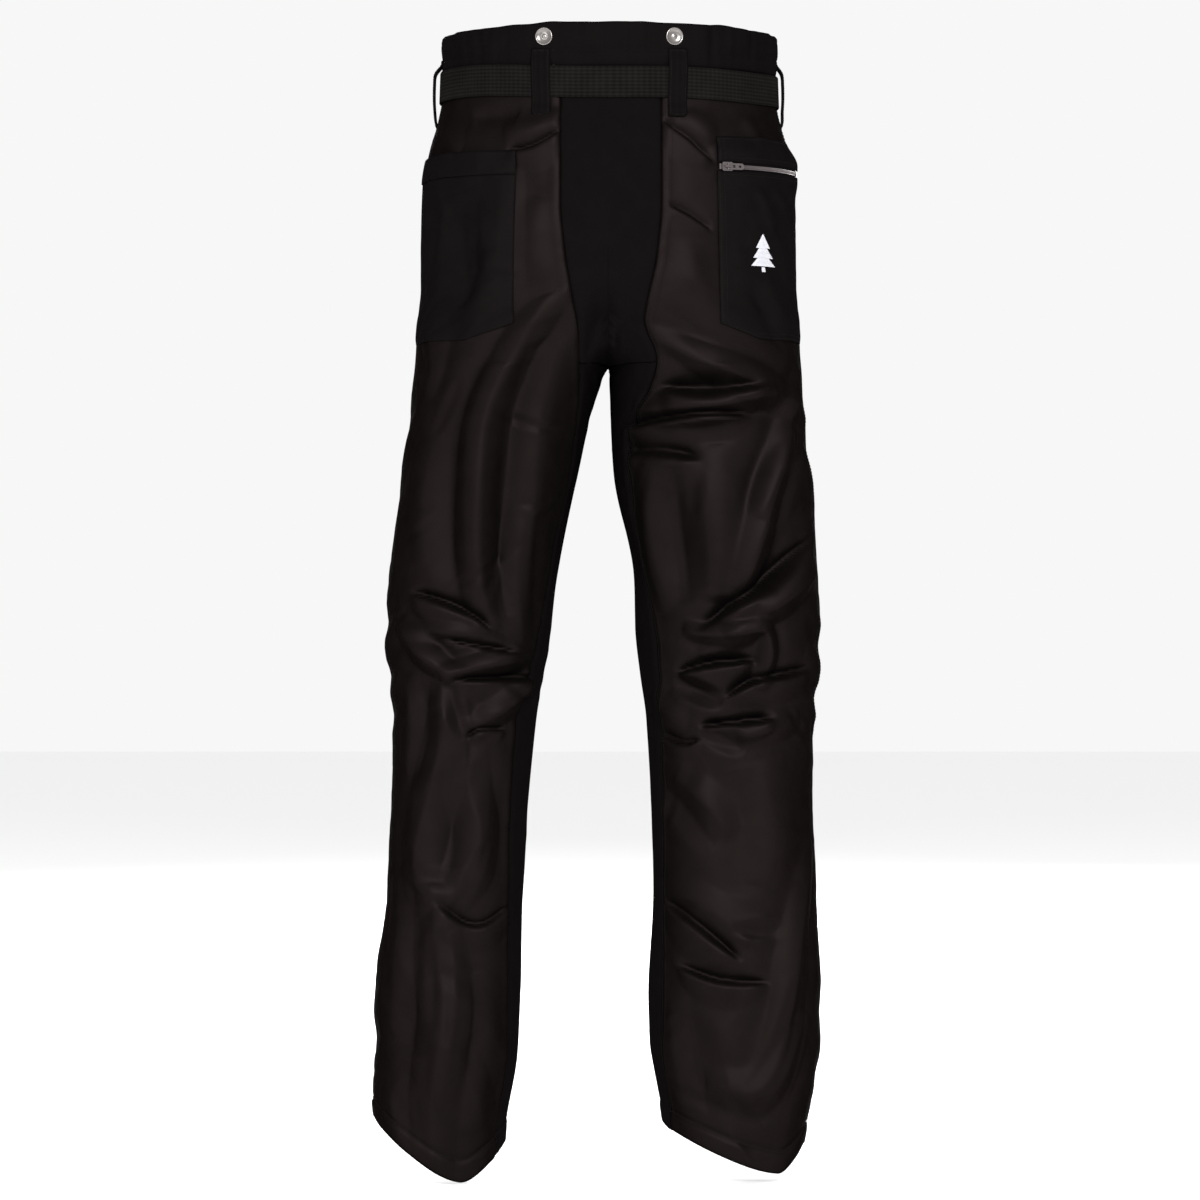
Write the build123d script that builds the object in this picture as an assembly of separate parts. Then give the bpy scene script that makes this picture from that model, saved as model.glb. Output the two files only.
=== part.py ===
"""Chainsaw protective trousers: two lined legs with saw-protection pads, belt, zips and buttons.

Millimetres. The origin is the centre of the waist at belt height, +Z up. The wearer faces +Y,
so the back of the trousers faces -Y and +X is the wearer's right.
"""

from build123d import *
from math import acos, cos, degrees, hypot, pi, radians, sin, sqrt
import os

os.makedirs("parts", exist_ok=True)

# ---- driving dimensions ------------------------------------------------------------------

LEFT, RIGHT = -1, 1

# the trunk: height, half width, half depth, centre y
TRUNK = [
    (57, 160, 105.5, -0.5),
    (30, 159, 106, 0),
    (0, 159, 107.3, 0.35),
    (-25, 163, 110, -1),
    (-54, 171, 114.8, -4.2),
    (-83, 177, 118.2, -6),
    (-141, 179, 123.4, -8),
]
# each leg: height, centre x, half width, half depth, centre y
LEG = {
    RIGHT: [
        (-199, 25, 155, 122.6, -4),
        (-230, 60, 122, 118, -3),
        (-252, 84, 99.5, 113, -2),
        (-264, 92.5, 92, 110, 0),
        (-285, 93.5, 92, 107, 0),
        (-372, 100, 94, 101, 2),
        (-459, 113, 89, 94, 5),
        (-517, 115, 89, 90, 7),
        (-604, 117, 81, 84, 5),
        (-691, 118, 77, 79, 2),
        (-778, 121, 78, 78, 0),
        (-864, 121, 82.5, 80, 0),
        (-922, 121, 81, 80, 0),
        (-980, 120, 70, 76, 0),
        (-1060, 121, 60, 71, 0),
    ],
    LEFT: [
        (-199, -25, 155, 122.6, -4),
        (-230, -62, 122, 118, -3),
        (-252, -86, 99.5, 113, -2),
        (-264, -93.5, 93, 110, 0),
        (-285, -99, 90, 107, 0),
        (-372, -115, 84, 101, 2),
        (-459, -130, 81.5, 94, 5),
        (-517, -135, 79, 90, 7),
        (-604, -139, 69, 84, 5),
        (-691, -143, 65, 79, 2),
        (-778, -148, 65, 78, 0),
        (-864, -155, 70, 80, 0),
        (-922, -156, 68, 80, 0),
        (-980, -163, 64, 76, 0),
        (-1060, -161, 56, 71, 0),
    ],
}
SECTION_SQUARENESS = 2.15  # 2 is an ellipse

# how deep each layer lies below the outer face of the shell fabric
SHELL = (0, 1.5)
POCKET_BAG = (4.8, 6.4)
PAD = (8.5, 13.2)
LINING = (13.8, 15.0)
GAP = 0.3

# seams between the outer panels: x and z of points down each seam, from the waist
SEAM = {
    RIGHT: [(49, 30), (49, -125), (44, -170), (35, -207), (29, -232), (36, -256), (48, -300), (46, -430),
            (47, -560), (50, -720), (50, -922), (58, -980), (67, -1060)],
    LEFT: [(-46, 30), (-46, -125), (-41, -170), (-34, -207), (-29, -232), (-34, -256), (-45, -300),
           (-60, -430), (-78, -560), (-90, -640), (-96, -800), (-97, -922), (-107, -980),
           (-113, -1060)],
}
CROTCH_Z = -264
HEM_LOWEST_Z = -1058
FRONT_SEAM_DROP = 21
FRONT_SEAM_BENDS = [-264, -268, -272, -276, -280.5]
CLOSED_SLIT = 0.006  # radians left open at a butted seam
PAD_CENTRE_GAP = 9
PAD_EDGE_ANGLE = 0.06
LINING_CENTRE_GAP = 4.2
CASING_BOTTOM_Z = 30
CASING_TOP_Z = 56
CASING_THICK = 3.2
ELASTIC_WIDTH = 20
ELASTIC_THICK = 1.2

# each hem: height at the leg's centre, slope along x, slope along y
HEM = {RIGHT: (-1002, -0.15, 0.33), LEFT: (-1000, -0.20, 0.50)}
HEM_CENTRE_X = {RIGHT: 121, LEFT: -163}
HEM_BAND_HEIGHT = 20
HEM_BAND_THICK = 1.2

PAD_TOP_Z = -72
PAD_ABOVE_HEM = 55
LINING_TOP_Z = 26
LINING_ABOVE_HEM = 6

# belt and its loops
BELT_WIDTH = 30
BELT_THICK = 1.8
BELT_OUT = 0.7
BELT_TIP_ANGLE = 112
LOOP_TOP_Z = 30
LOOP_BOTTOM_Z = -32
LOOP_WIDTH = 19
LOOP_THICK = 1.6
LOOP_CLEARANCE = 0.9
LOOP_ANGLES = {  # degrees round the waist from +X, through +Y
    "back_left_belt_loop": 248.5,
    "back_right_belt_loop": 291.5,
    "left_side_belt_loop": 180,
    "right_side_belt_loop": 0,
    "front_left_belt_loop": 124,
    "front_right_belt_loop": 56,
}

# brace buttons: pressed caps on tack posts
BUTTON_R = 8.5
BUTTON_RIM = 1.1
BUTTON_THICK = 2.6
BUTTON_STAND = 1.2
POST_R = 2.2
TACK_HEAD_R = 4.5
TACK_HEAD_THICK = 0.8
BUTTON_Z = 43
BUTTON_ANGLES = [249.2, 290.8, 50, 68, 112, 130]
WAIST_BUTTON_ANGLE = 94.5
BUTTON_EDGE_ROUND = 0.7
DISH_SPHERE_R = 26
POST_REACH_IN_CAP = 0.95
POST_CLEARANCE = 0.05

# the flip-lever buckle
BUCKLE_LENGTH = 44
BUCKLE_HEIGHT = 38
BUCKLE_DEPTH = 9
BUCKLE_PLATE = 1.5
BUCKLE_OUT = 4.2
STRAP_SLOT = 4.5
STRAP_SLOT_INSET = 6
PIN_PLACE = (-12, 5.4)
PIN_R = 1.6
PIN_CLEARANCE = 0.06
LEVER_LENGTH = 30
LEVER_THICK = 2.0
LEVER_RISE = 1.4
LEVER_ROUND = 6
LEVER_SIDE_PLAY = 0.6
BARREL_R = 3.2

# back pockets
POCKET_FABRIC = 1.5
POCKET_DEPTH = 6.0
OPEN_POCKET_TOP = -66
OPEN_POCKET_HEM = 22
# rows down each pocket: height, inner edge's x, and how far short of the side seam it ends, in radians
OPEN_POCKET_ROWS = [(-66, -86, 0.12), (-88, -86.5, 0.12), (-141, -88, 0.12), (-199, -89, 0.12),
                    (-229, -91, 0.12), (-242, -112, 0.14)]
OPEN_POCKET_HOLLOW = [(-60, -89, 0.16), (-141, -91, 0.16), (-199, -92, 0.16), (-226, -95, 0.16)]
ZIP_POCKET_TOP_ROW = (-52, 101)
ZIP_POCKET_ROWS = [(-141, 103), (-199, 104), (-226, 104), (-242, 124)]
PATCH_EDGE = 0.10
BADGE_ROWS = [(-150, 124, 0.62), (-176, 124, 0.62)]
BADGE_THICK = 0.8
BADGE_GAP = 0.35

# the pocket zip runs along a circular arc round the hip
ZIP_Z = -80
ZIP_OUT = 4.9
ZIP_FIT_ANGLES = (52, 34, 12)
ZIP_START_X = 103.5
ZIP_END_ANGLE = -0.27
FACING_WIDTH = 9
FACING_OVERLAP = 0.03
TAPE_LEVELS = (-2.6, -1.8)
TAPE_BESIDE_GAP = 7.5
COIL_PROUD = 0.25
COIL_END_INSET = 2.2
STOP_LENGTH = 1.9
STOP_HALF = 2.6
STOP_LEVELS = (-1.7, 0.5)
ZIP_HALF_GAP = 3.2
COIL_HALF_WIDTH = 1.9
SLIDER_LENGTH = 11
SLIDER_HALF_WIDTH = 4.2
SLIDER_PLATE = 1.3
PULL_LENGTH = 16
PULL_WIDTH = 6
PULL_THICK = 1.0
PULL_BAR_R = 0.5
SLIDER_OUT = 0.4  # of the slider's top plate above the cloth beside the zip
PLATE_TOP = SLIDER_OUT + SLIDER_PLATE
HINGE_UP = PLATE_TOP + 0.8
BRIDGE = (7, 1.8, 2.3)
BRIDGE_EYE = (3.8, 4, 1.5)

# the fly
FLY_TOP_Z = -22
FLY_BOTTOM_Z = -160
FLY_HALF = 23
FLY_TAPE_BESIDE_GAP = 9
FLY_UNDERLAP = (-4.2, -3.0)

# hand pocket bags: height, inner edge's distance from the centre, and how far short of the side seam
HAND_POCKET_ROWS = [(26, 66, 0.30), (-25, 66, 0.30), (-83, 62, 0.22), (-141, 60, 0.22), (-185, 66, 0.30)]


# ---- sections and layers -----------------------------------------------------------------

def stations(side):
    """Section data down one side: z, centre x, half width, half depth, centre y."""
    trunk = [(z, 0, a, b, cy) for z, a, b, cy in TRUNK]
    return trunk + LEG[side]


def section_at(side, z):
    """The section between its two nearest stations."""
    rows = stations(side)
    for upper, lower in zip(rows, rows[1:]):
        if upper[0] >= z >= lower[0]:
            t = (upper[0] - z) / (upper[0] - lower[0])
            return tuple(u + (v - u) * t for u, v in zip(upper, lower))
    raise ValueError(f"no section at {z}")


def section_point(section, inset, angle):
    """A point on a section's outline, moved in by inset."""
    z, cx, a, b, cy = section
    c, s = cos(angle), sin(angle)
    power = 2 / SECTION_SQUARENESS
    x = abs(c) ** power * (1 if c >= 0 else -1)
    y = abs(s) ** power * (1 if s >= 0 else -1)
    return cx + (a - inset) * x, cy + (b - inset) * y, z


def angle_of(section, inset, x, half):
    """The angle on a section's outline at a given x: half is -1 for the back, +1 for the front."""
    _, cx, a, _, _ = section
    share = (x - cx) / (a - inset)
    share = max(-1.0, min(1.0, share))
    c = abs(share) ** (SECTION_SQUARENESS / 2) * (1 if share >= 0 else -1)
    return half * max(CLOSED_SLIT, min(acos(c), pi - CLOSED_SLIT))


def heights(side, top, bottom, extra=()):
    """The stations between two heights, with both ends and any extra bends."""
    inside = [r[0] for r in stations(side)] + list(extra)
    inside = sorted({z for z in inside if bottom + 1 < z < top - 1}, reverse=True)
    return [top] + inside + [bottom]


def strip(side, depths, zs, first, last, steps=6):
    """A shell patch ruled from height to height, between two angles that depend on height and depth."""
    faces = []
    for z in zs:
        section = section_at(side, z)
        rows = []
        for depth in depths:
            begin, end = first(section, depth), last(section, depth)
            angles = [begin + (end - begin) * i / steps for i in range(steps + 1)]
            rows.append([section_point(section, depth, angle) for angle in angles])
        outer, inner = rows[0], rows[1][::-1]
        edges = [Spline(*outer), Line(outer[-1], inner[0]), Spline(*inner), Line(inner[-1], outer[0])]
        faces.append(Face(Wire(edges)))
    return loft(faces, ruled=True)


def seam_x(side, z):
    """The x of the long seam between centre and leg panels at one height."""
    rows = SEAM[side]
    for (x1, z1), (x2, z2) in zip(rows, rows[1:]):
        if z1 >= z >= z2:
            return x1 + (x2 - x1) * (z1 - z) / (z1 - z2)
    return rows[0][0] if z > rows[0][1] else rows[-1][0]


def at_seam(side, half):
    return lambda section, depth: angle_of(section, depth, seam_x(side, section[0]), half)


def at_front_seam(side):
    """The front edge: beside the fly down to the crotch, then across to the long seam."""
    def angle(section, depth):
        z = section[0]
        share = max(0.0, min(1.0, (CROTCH_Z - z) / FRONT_SEAM_DROP))
        x = side * ZIP_HALF_GAP * (1 - share) + seam_x(side, z) * share
        return angle_of(section, depth, x, 1)
    return angle


def at_x(x, half):
    return lambda section, depth: angle_of(section, depth, x, half)


def at_side(side, offset=0.0):
    """The side seam, on the hip's outside; offset turns it towards the front."""
    if side == RIGHT:
        return lambda section, depth: offset
    return lambda section, depth: pi - offset


def at_side_back(side, offset=0.0):
    """The side seam reached round the back."""
    if side == RIGHT:
        return lambda section, depth: offset
    return lambda section, depth: -pi - offset


def hem_plane(side, raised=0):
    z, slope_x, slope_y = HEM[side]
    origin = (HEM_CENTRE_X[side], 0, z + raised)
    return Plane(origin=origin, x_dir=(1, 0, slope_x), z_dir=(-slope_x, -slope_y, 1))


def above_hem(side, shape, raised=0):
    """What lies above the slanted hem."""
    return split(shape, bisect_by=hem_plane(side, raised), keep=Keep.TOP)


def below_plane(side, shape, raised):
    return split(shape, bisect_by=hem_plane(side, raised), keep=Keep.BOTTOM)


def band(top, bottom):
    """Everything between two heights."""
    return Pos(0, 0, (top + bottom) / 2) * Box(1000, 1000, top - bottom)


def solids_of(shape):
    """A shape as one compound of its solids."""
    found = [s for s in shape.solids() if s.volume > 1]
    return Compound(found) if len(found) > 1 else found[0]


def save(name, shape):
    export_step(solids_of(shape), f"parts/{name}.step")


def waist_frame(angle_degrees, z, out=0):
    """A plane standing on the waist: x runs along the belt, y up, z outwards."""
    angle = radians(angle_degrees)
    section = section_at(RIGHT, z)
    step = 0.01
    here = Vector(*section_point(section, 0, angle))
    after = Vector(*section_point(section, 0, angle + step))
    before = Vector(*section_point(section, 0, angle - step))
    along = (after - before).normalized()
    outwards = along.cross(Vector(0, 0, 1))
    return Plane(origin=here + outwards * out, x_dir=along, z_dir=outwards)


# ---- legs --------------------------------------------------------------------------------

def side_name(side):
    return "left" if side == LEFT else "right"


def make_outer_panels():
    """Front, back and inner-leg panels of both legs, and the stretch panel down the seat."""
    seats = []
    for side in (LEFT, RIGHT):
        name = side_name(side)
        bends = [z for _, z in SEAM[side]]
        long_zs = heights(side, CASING_BOTTOM_Z, HEM_LOWEST_Z, bends + FRONT_SEAM_BENDS)
        back = strip(side, SHELL, long_zs, at_seam(side, -1), at_side_back(side))
        save(f"{name}_back_leg_panel", above_hem(side, back))
        front = strip(side, SHELL, long_zs, at_front_seam(side), at_side(side))
        save(f"{name}_front_leg_panel", above_hem(side, front))
        upper_zs = heights(side, CASING_BOTTOM_Z, CROTCH_Z, bends)
        lower_zs = heights(side, CROTCH_Z, HEM_LOWEST_Z, bends + FRONT_SEAM_BENDS)
        inner = strip(side, SHELL, lower_zs, at_seam(side, -1), inner_end(side))
        save(f"{name}_inner_leg_panel", above_hem(side, inner))
        seats.append(strip(side, SHELL, upper_zs, at_x(side * GAP / 2, -1), at_seam(side, -1), 4))
    save("seat_stretch_panel", Compound([s for part in seats for s in part.solids()]))


def inner_end(side):
    """The front seam of the inner-leg panel, reached through the inside of the leg."""
    if side == RIGHT:
        return lambda section, depth: at_front_seam(side)(section, depth) - 2 * pi
    return at_front_seam(side)


def make_hem_bands():
    """A turned-up hem inside each leg's end."""
    for side in (LEFT, RIGHT):
        depths = (SHELL[1] + GAP, SHELL[1] + GAP + HEM_BAND_THICK)
        tube = leg_tube(side, depths, -900, HEM_LOWEST_Z)
        save(f"{side_name(side)}_hem_band", below_plane(side, above_hem(side, tube), HEM_BAND_HEIGHT))


def leg_tube(side, depths, top, bottom):
    """A layer all round one leg, closed by a butted seam at its inside."""
    inside = -pi if side == RIGHT else 0
    start = lambda section, depth: inside + CLOSED_SLIT
    finish = lambda section, depth: inside + 2 * pi - CLOSED_SLIT
    return strip(side, depths, heights(side, top, bottom), start, finish, 16)


def trunk_half(side, depths, top, bottom, middle_gap):
    """A layer round one half of the trunk, from the centre back to the centre front."""
    if side == RIGHT:
        start, finish = at_x(middle_gap, -1), at_x(middle_gap, 1)
    else:
        start = at_x(-middle_gap, 1)
        finish = lambda section, depth: 2 * pi + at_x(-middle_gap, -1)(section, depth)
    return strip(side, depths, heights(side, top, bottom), start, finish, 12)


def make_pads_and_linings():
    for side in (LEFT, RIGHT):
        name = side_name(side)
        zs = heights(side, PAD_TOP_Z, HEM_LOWEST_Z)
        inner = at_x(side * PAD_CENTRE_GAP, 1)
        pad = strip(side, PAD, zs, inner, at_side(side, PAD_EDGE_ANGLE), 8)
        save(f"{name}_saw_protection_pad", above_hem(side, pad, PAD_ABOVE_HEM))
        upper = trunk_half(side, LINING, LINING_TOP_Z, CROTCH_Z, LINING_CENTRE_GAP)
        lower = leg_tube(side, LINING, CROTCH_Z, HEM_LOWEST_Z)
        pieces = upper.solids() + above_hem(side, lower, LINING_ABOVE_HEM).solids()
        save(f"{name}_leg_lining", Compound(pieces))


# ---- waist -------------------------------------------------------------------------------

def ring_strip(depths, top, bottom, first, last, steps):
    """A strip of the waist's wall between two angles in degrees."""
    begin = lambda section, depth: radians(first)
    finish = lambda section, depth: radians(last)
    return strip(RIGHT, depths, heights(RIGHT, top, bottom), begin, finish, steps)


def make_waistband():
    """A folded casing round the waist, open at the front, with elastic inside its back half."""
    bottom, top = CASING_BOTTOM_Z + GAP, CASING_TOP_Z
    middle = (top + bottom) / 2
    ring = ring_strip((0, CASING_THICK), top, bottom, 90.4, 449.6, 32)
    wall = (CASING_THICK - ELASTIC_THICK - 0.4) / 2
    half = ELASTIC_WIDTH / 2
    tunnel = ring_strip((wall, CASING_THICK - wall), middle + half + 0.5, middle - half - 0.5, 170, 370, 20)
    save("waistband_casing", ring - tunnel - button_holes())
    core = ring_strip((wall + 0.2, CASING_THICK - wall - 0.2), middle + half, middle - half, 172, 368, 20)
    save("waist_elastic", core - button_holes())


def button_holes():
    """Clear holes through the waistband for the tack posts."""
    holes = []
    for angle in BUTTON_ANGLES + [WAIST_BUTTON_ANGLE]:
        holes.append(waist_frame(angle, BUTTON_Z) * Cylinder(POST_R + POST_CLEARANCE, 20))
    return Compound([s for h in holes for s in h.solids()])


def tack_button(frame):
    """A dished cap and the post and head of the tack that holds it."""
    base = BUTTON_STAND
    cap = frame * Pos(0, 0, base + BUTTON_THICK / 2) * Cylinder(BUTTON_R, BUTTON_THICK)
    rims = cap.edges().filter_by(GeomType.CIRCLE).sort_by_distance(cap.center())[-2:]
    cap = fillet(rims, BUTTON_EDGE_ROUND)
    dish_r = BUTTON_R - BUTTON_RIM
    depth = DISH_SPHERE_R - sqrt(DISH_SPHERE_R ** 2 - dish_r ** 2)
    cap -= frame * Pos(0, 0, base + BUTTON_THICK + DISH_SPHERE_R - depth) * Sphere(DISH_SPHERE_R)
    cap -= frame * Pos(0, 0, base + 0.5) * Cylinder(POST_R + 0.02, 1.0)
    post_top = base + POST_REACH_IN_CAP
    post_length = post_top + CASING_THICK + 0.6
    post = frame * Pos(0, 0, post_top - post_length / 2) * Cylinder(POST_R, post_length)
    head_z = post_top - post_length - TACK_HEAD_THICK / 2 + 0.1
    head = frame * Pos(0, 0, head_z) * Cylinder(TACK_HEAD_R, TACK_HEAD_THICK)
    return cap, post + head


def make_buttons():
    """Two brace buttons at the back, four at the front and the waistband's own button."""
    groups = {
        "back_brace_button": BUTTON_ANGLES[:2],
        "front_brace_button": BUTTON_ANGLES[2:],
        "waist_button": [WAIST_BUTTON_ANGLE],
    }
    for name, angles in groups.items():
        pairs = [tack_button(waist_frame(angle, BUTTON_Z)) for angle in angles]
        for angle in angles:
            frame = waist_frame(angle, BUTTON_Z)
            middle = frame * Pos(0, 0, BUTTON_STAND + BUTTON_THICK / 2)
            print(name, [round(v, 2) for v in middle.position], [round(v, 4) for v in frame.z_dir])
        save(f"{name}_caps", Compound([s for cap, _ in pairs for s in cap.solids()]))
        save(f"{name}_tacks", Compound([s for _, tack in pairs for s in tack.solids()]))


def belt_part(out, first, last, steps):
    """A length of webbing round the waist between two angles in degrees."""
    section = section_at(RIGHT, -BELT_WIDTH / 2)
    rows = []
    for inset in (-out - BELT_THICK, -out):
        angles = [radians(first + (last - first) * i / steps) for i in range(steps + 1)]
        rows.append([section_point(section, inset, a) for a in angles])
    outer, inner = rows[0], rows[1][::-1]
    edges = [Spline(*outer), Line(outer[-1], inner[0]), Spline(*inner), Line(inner[-1], outer[0])]
    return extrude(Face(Wire(edges)), amount=BELT_WIDTH, dir=(0, 0, 1))


def make_belt():
    """Webbing round the waist, and its free end with a metal tip beside the buckle."""
    save("belt_webbing", belt_part(BELT_OUT, 91, 449, 36))
    over = BELT_OUT + BELT_THICK + GAP
    save("belt_free_end", belt_part(over, 99.5, BELT_TIP_ANGLE, 5))
    save("belt_tip", belt_part(over, BELT_TIP_ANGLE, BELT_TIP_ANGLE + 2.6, 3))


def make_loops():
    """Each loop is a folded strip, sewn at both ends and bowed clear of the belt."""
    belt = section_at(RIGHT, -BELT_WIDTH / 2)
    for name, angle in LOOP_ANGLES.items():
        frame = waist_frame(angle, 0)
        belt_face = Vector(*section_point(belt, -BELT_OUT - BELT_THICK, radians(angle)))
        clear = (belt_face - frame.origin).dot(frame.z_dir) + LOOP_CLEARANCE
        foot = Vector(*section_point(section_at(RIGHT, LOOP_BOTTOM_Z), 0, radians(angle)))
        foot_out = (foot - frame.origin).dot(frame.z_dir) + 1.0
        profile = [
            (LOOP_TOP_Z - GAP, 0.9),
            (LOOP_TOP_Z - GAP, 0.9 + LOOP_THICK),
            (19, clear + LOOP_THICK),
            (-19, clear + LOOP_THICK),
            (LOOP_BOTTOM_Z, foot_out + LOOP_THICK),
            (LOOP_BOTTOM_Z, foot_out),
            (-18, clear),
            (18, clear),
        ]
        side_plane = Plane(origin=frame.origin, x_dir=(0, 0, 1), z_dir=frame.x_dir)
        turn = 1 if side_plane.y_dir.dot(frame.z_dir) > 0 else -1
        strip_face = make_face(Polyline(*[(z, turn * out) for z, out in profile], close=True))
        placed = side_plane * Pos(0, 0, -LOOP_WIDTH / 2) * extrude(strip_face, amount=LOOP_WIDTH)
        save(name, placed)


# ---- buckle ------------------------------------------------------------------------------

def buckle_plane():
    """The buckle stands on the front of the waist: x to the wearer's left, y up, z forwards."""
    _, _, _, half_depth, centre_y = section_at(RIGHT, 0)
    return Plane(origin=(0, centre_y + half_depth + BUCKLE_OUT, 0), x_dir=(-1, 0, 0), z_dir=(0, 1, 0))


def make_buckle():
    """A stamped frame, a toothed flip lever and the pin it turns on."""
    frame = buckle_plane()
    base = Pos(0, 0, BUCKLE_PLATE / 2) * Box(BUCKLE_LENGTH, BUCKLE_HEIGHT, BUCKLE_PLATE)
    ears = []
    for side in (-1, 1):
        y = side * (BUCKLE_HEIGHT - BUCKLE_PLATE) / 2
        ear = Pos(0, y, BUCKLE_DEPTH / 2) * Box(BUCKLE_LENGTH, BUCKLE_PLATE, BUCKLE_DEPTH)
        ears.append(ear)
    body = base + ears[0] + ears[1]
    for side in (-1, 1):
        slot_x = side * (BUCKLE_LENGTH / 2 - STRAP_SLOT_INSET)
        body -= Pos(slot_x, 0, 0) * Box(STRAP_SLOT, BELT_WIDTH + 1.5, 2 * BUCKLE_DEPTH)
    pin_x, pin_z = PIN_PLACE
    pin_axis = Pos(pin_x, 0, pin_z) * Rot(90, 0, 0)
    body -= pin_axis * Cylinder(PIN_R, 2 * BUCKLE_HEIGHT)
    save("buckle_frame", frame * body)
    save("buckle_pin", frame * pin_axis * Cylinder(PIN_R, BUCKLE_HEIGHT + 1))
    lever_width = BUCKLE_HEIGHT - 2 * BUCKLE_PLATE - 2 * LEVER_SIDE_PLAY
    plate_place = Pos(pin_x + LEVER_LENGTH / 2, 0, pin_z + LEVER_RISE)
    plate = plate_place * Box(LEVER_LENGTH, lever_width, LEVER_THICK)
    plate = fillet(plate.edges().filter_by(Axis.Z).sort_by(Axis.X)[-2:], LEVER_ROUND)
    lever = plate + pin_axis * Cylinder(BARREL_R, lever_width)
    lever -= pin_axis * Cylinder(PIN_R + PIN_CLEARANCE, 2 * BUCKLE_HEIGHT)
    save("buckle_lever", frame * lever)


# ---- pockets -----------------------------------------------------------------------------

def with_stations(side, rows):
    """Rows with more rows put in between, one at each station that they pass."""
    filled = [rows[0]]
    for upper, lower in zip(rows, rows[1:]):
        for z in heights(side, upper[0], lower[0])[1:-1]:
            t = (upper[0] - z) / (upper[0] - lower[0])
            filled.append(tuple(u + (v - u) * t for u, v in zip(upper, lower)))
        filled.append(lower)
    return filled


def patch(side, rows, low, high, steps=5):
    """A cloth patch standing off the back of one hip, through rows of z, inner x and outer edge."""
    faces = []
    for z, x, edge in with_stations(side, rows):
        section = section_at(side, z)
        lines = []
        for out in (high, low):
            begin = angle_of(section, -out, x, -1)
            finish = -edge if side == RIGHT else -pi + edge
            angles = [begin + (finish - begin) * i / steps for i in range(steps + 1)]
            lines.append([section_point(section, -out, angle) for angle in angles])
        outer, inner = lines[0], lines[1][::-1]
        edges = [Spline(*outer), Line(outer[-1], inner[0]), Spline(*inner), Line(inner[-1], outer[0])]
        faces.append(Face(Wire(edges)))
    return loft(faces, ruled=True)


def make_open_pocket():
    """The left back pocket: a patch with side walls, a hemmed open top and a cut lower corner."""
    low, high = GAP, GAP + POCKET_DEPTH + POCKET_FABRIC
    block = patch(LEFT, OPEN_POCKET_ROWS, low, high)
    hollow = patch(LEFT, OPEN_POCKET_HOLLOW, low - 0.1, high - POCKET_FABRIC)
    pocket = block - hollow
    hem_z = OPEN_POCKET_TOP - OPEN_POCKET_HEM
    save("open_pocket_hem", pocket & band(OPEN_POCKET_TOP + 1, hem_z))
    save("open_pocket_patch", pocket & band(hem_z, CROTCH_Z))


def zip_circle():
    """The circle that the pocket zip follows round the hip: centre x, centre y and radius."""
    section = section_at(RIGHT, ZIP_Z)
    places = [section_point(section, -ZIP_OUT, -radians(a)) for a in ZIP_FIT_ANGLES]
    (x1, y1, _), (x2, y2, _), (x3, y3, _) = places
    d = 2 * (x1 * (y2 - y3) + x2 * (y3 - y1) + x3 * (y1 - y2))
    s1, s2, s3 = x1 ** 2 + y1 ** 2, x2 ** 2 + y2 ** 2, x3 ** 2 + y3 ** 2
    cx = (s1 * (y2 - y3) + s2 * (y3 - y1) + s3 * (y1 - y2)) / d
    cy = (s1 * (x3 - x2) + s2 * (x1 - x3) + s3 * (x2 - x1)) / d
    return cx, cy, hypot(x1 - cx, y1 - cy)


def zip_angle(x):
    """The angle on the zip's circle at a given x on the back, in radians."""
    cx, _, radius = zip_circle()
    return -acos((x - cx) / radius)


def circle_point(radius, angle, z):
    cx, cy, _ = zip_circle()
    return cx + radius * cos(angle), cy + radius * sin(angle), z


def arc_face(r_low, r_high, z, first, last):
    middle = (first + last) / 2
    outer = [circle_point(r_high, a, z) for a in (first, middle, last)]
    inner = [circle_point(r_low, a, z) for a in (last, middle, first)]
    ends = [Line(outer[-1], inner[0]), Line(inner[-1], outer[0])]
    return Face(Wire([ThreePointArc(*outer), ends[0], ThreePointArc(*inner), ends[1]]))


def arc_band(r_low, r_high, z_low, z_high, first, last):
    """Part of a ring about the zip's axis."""
    return extrude(arc_face(r_low, r_high, z_low, first, last), amount=z_high - z_low, dir=(0, 0, 1))


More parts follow.
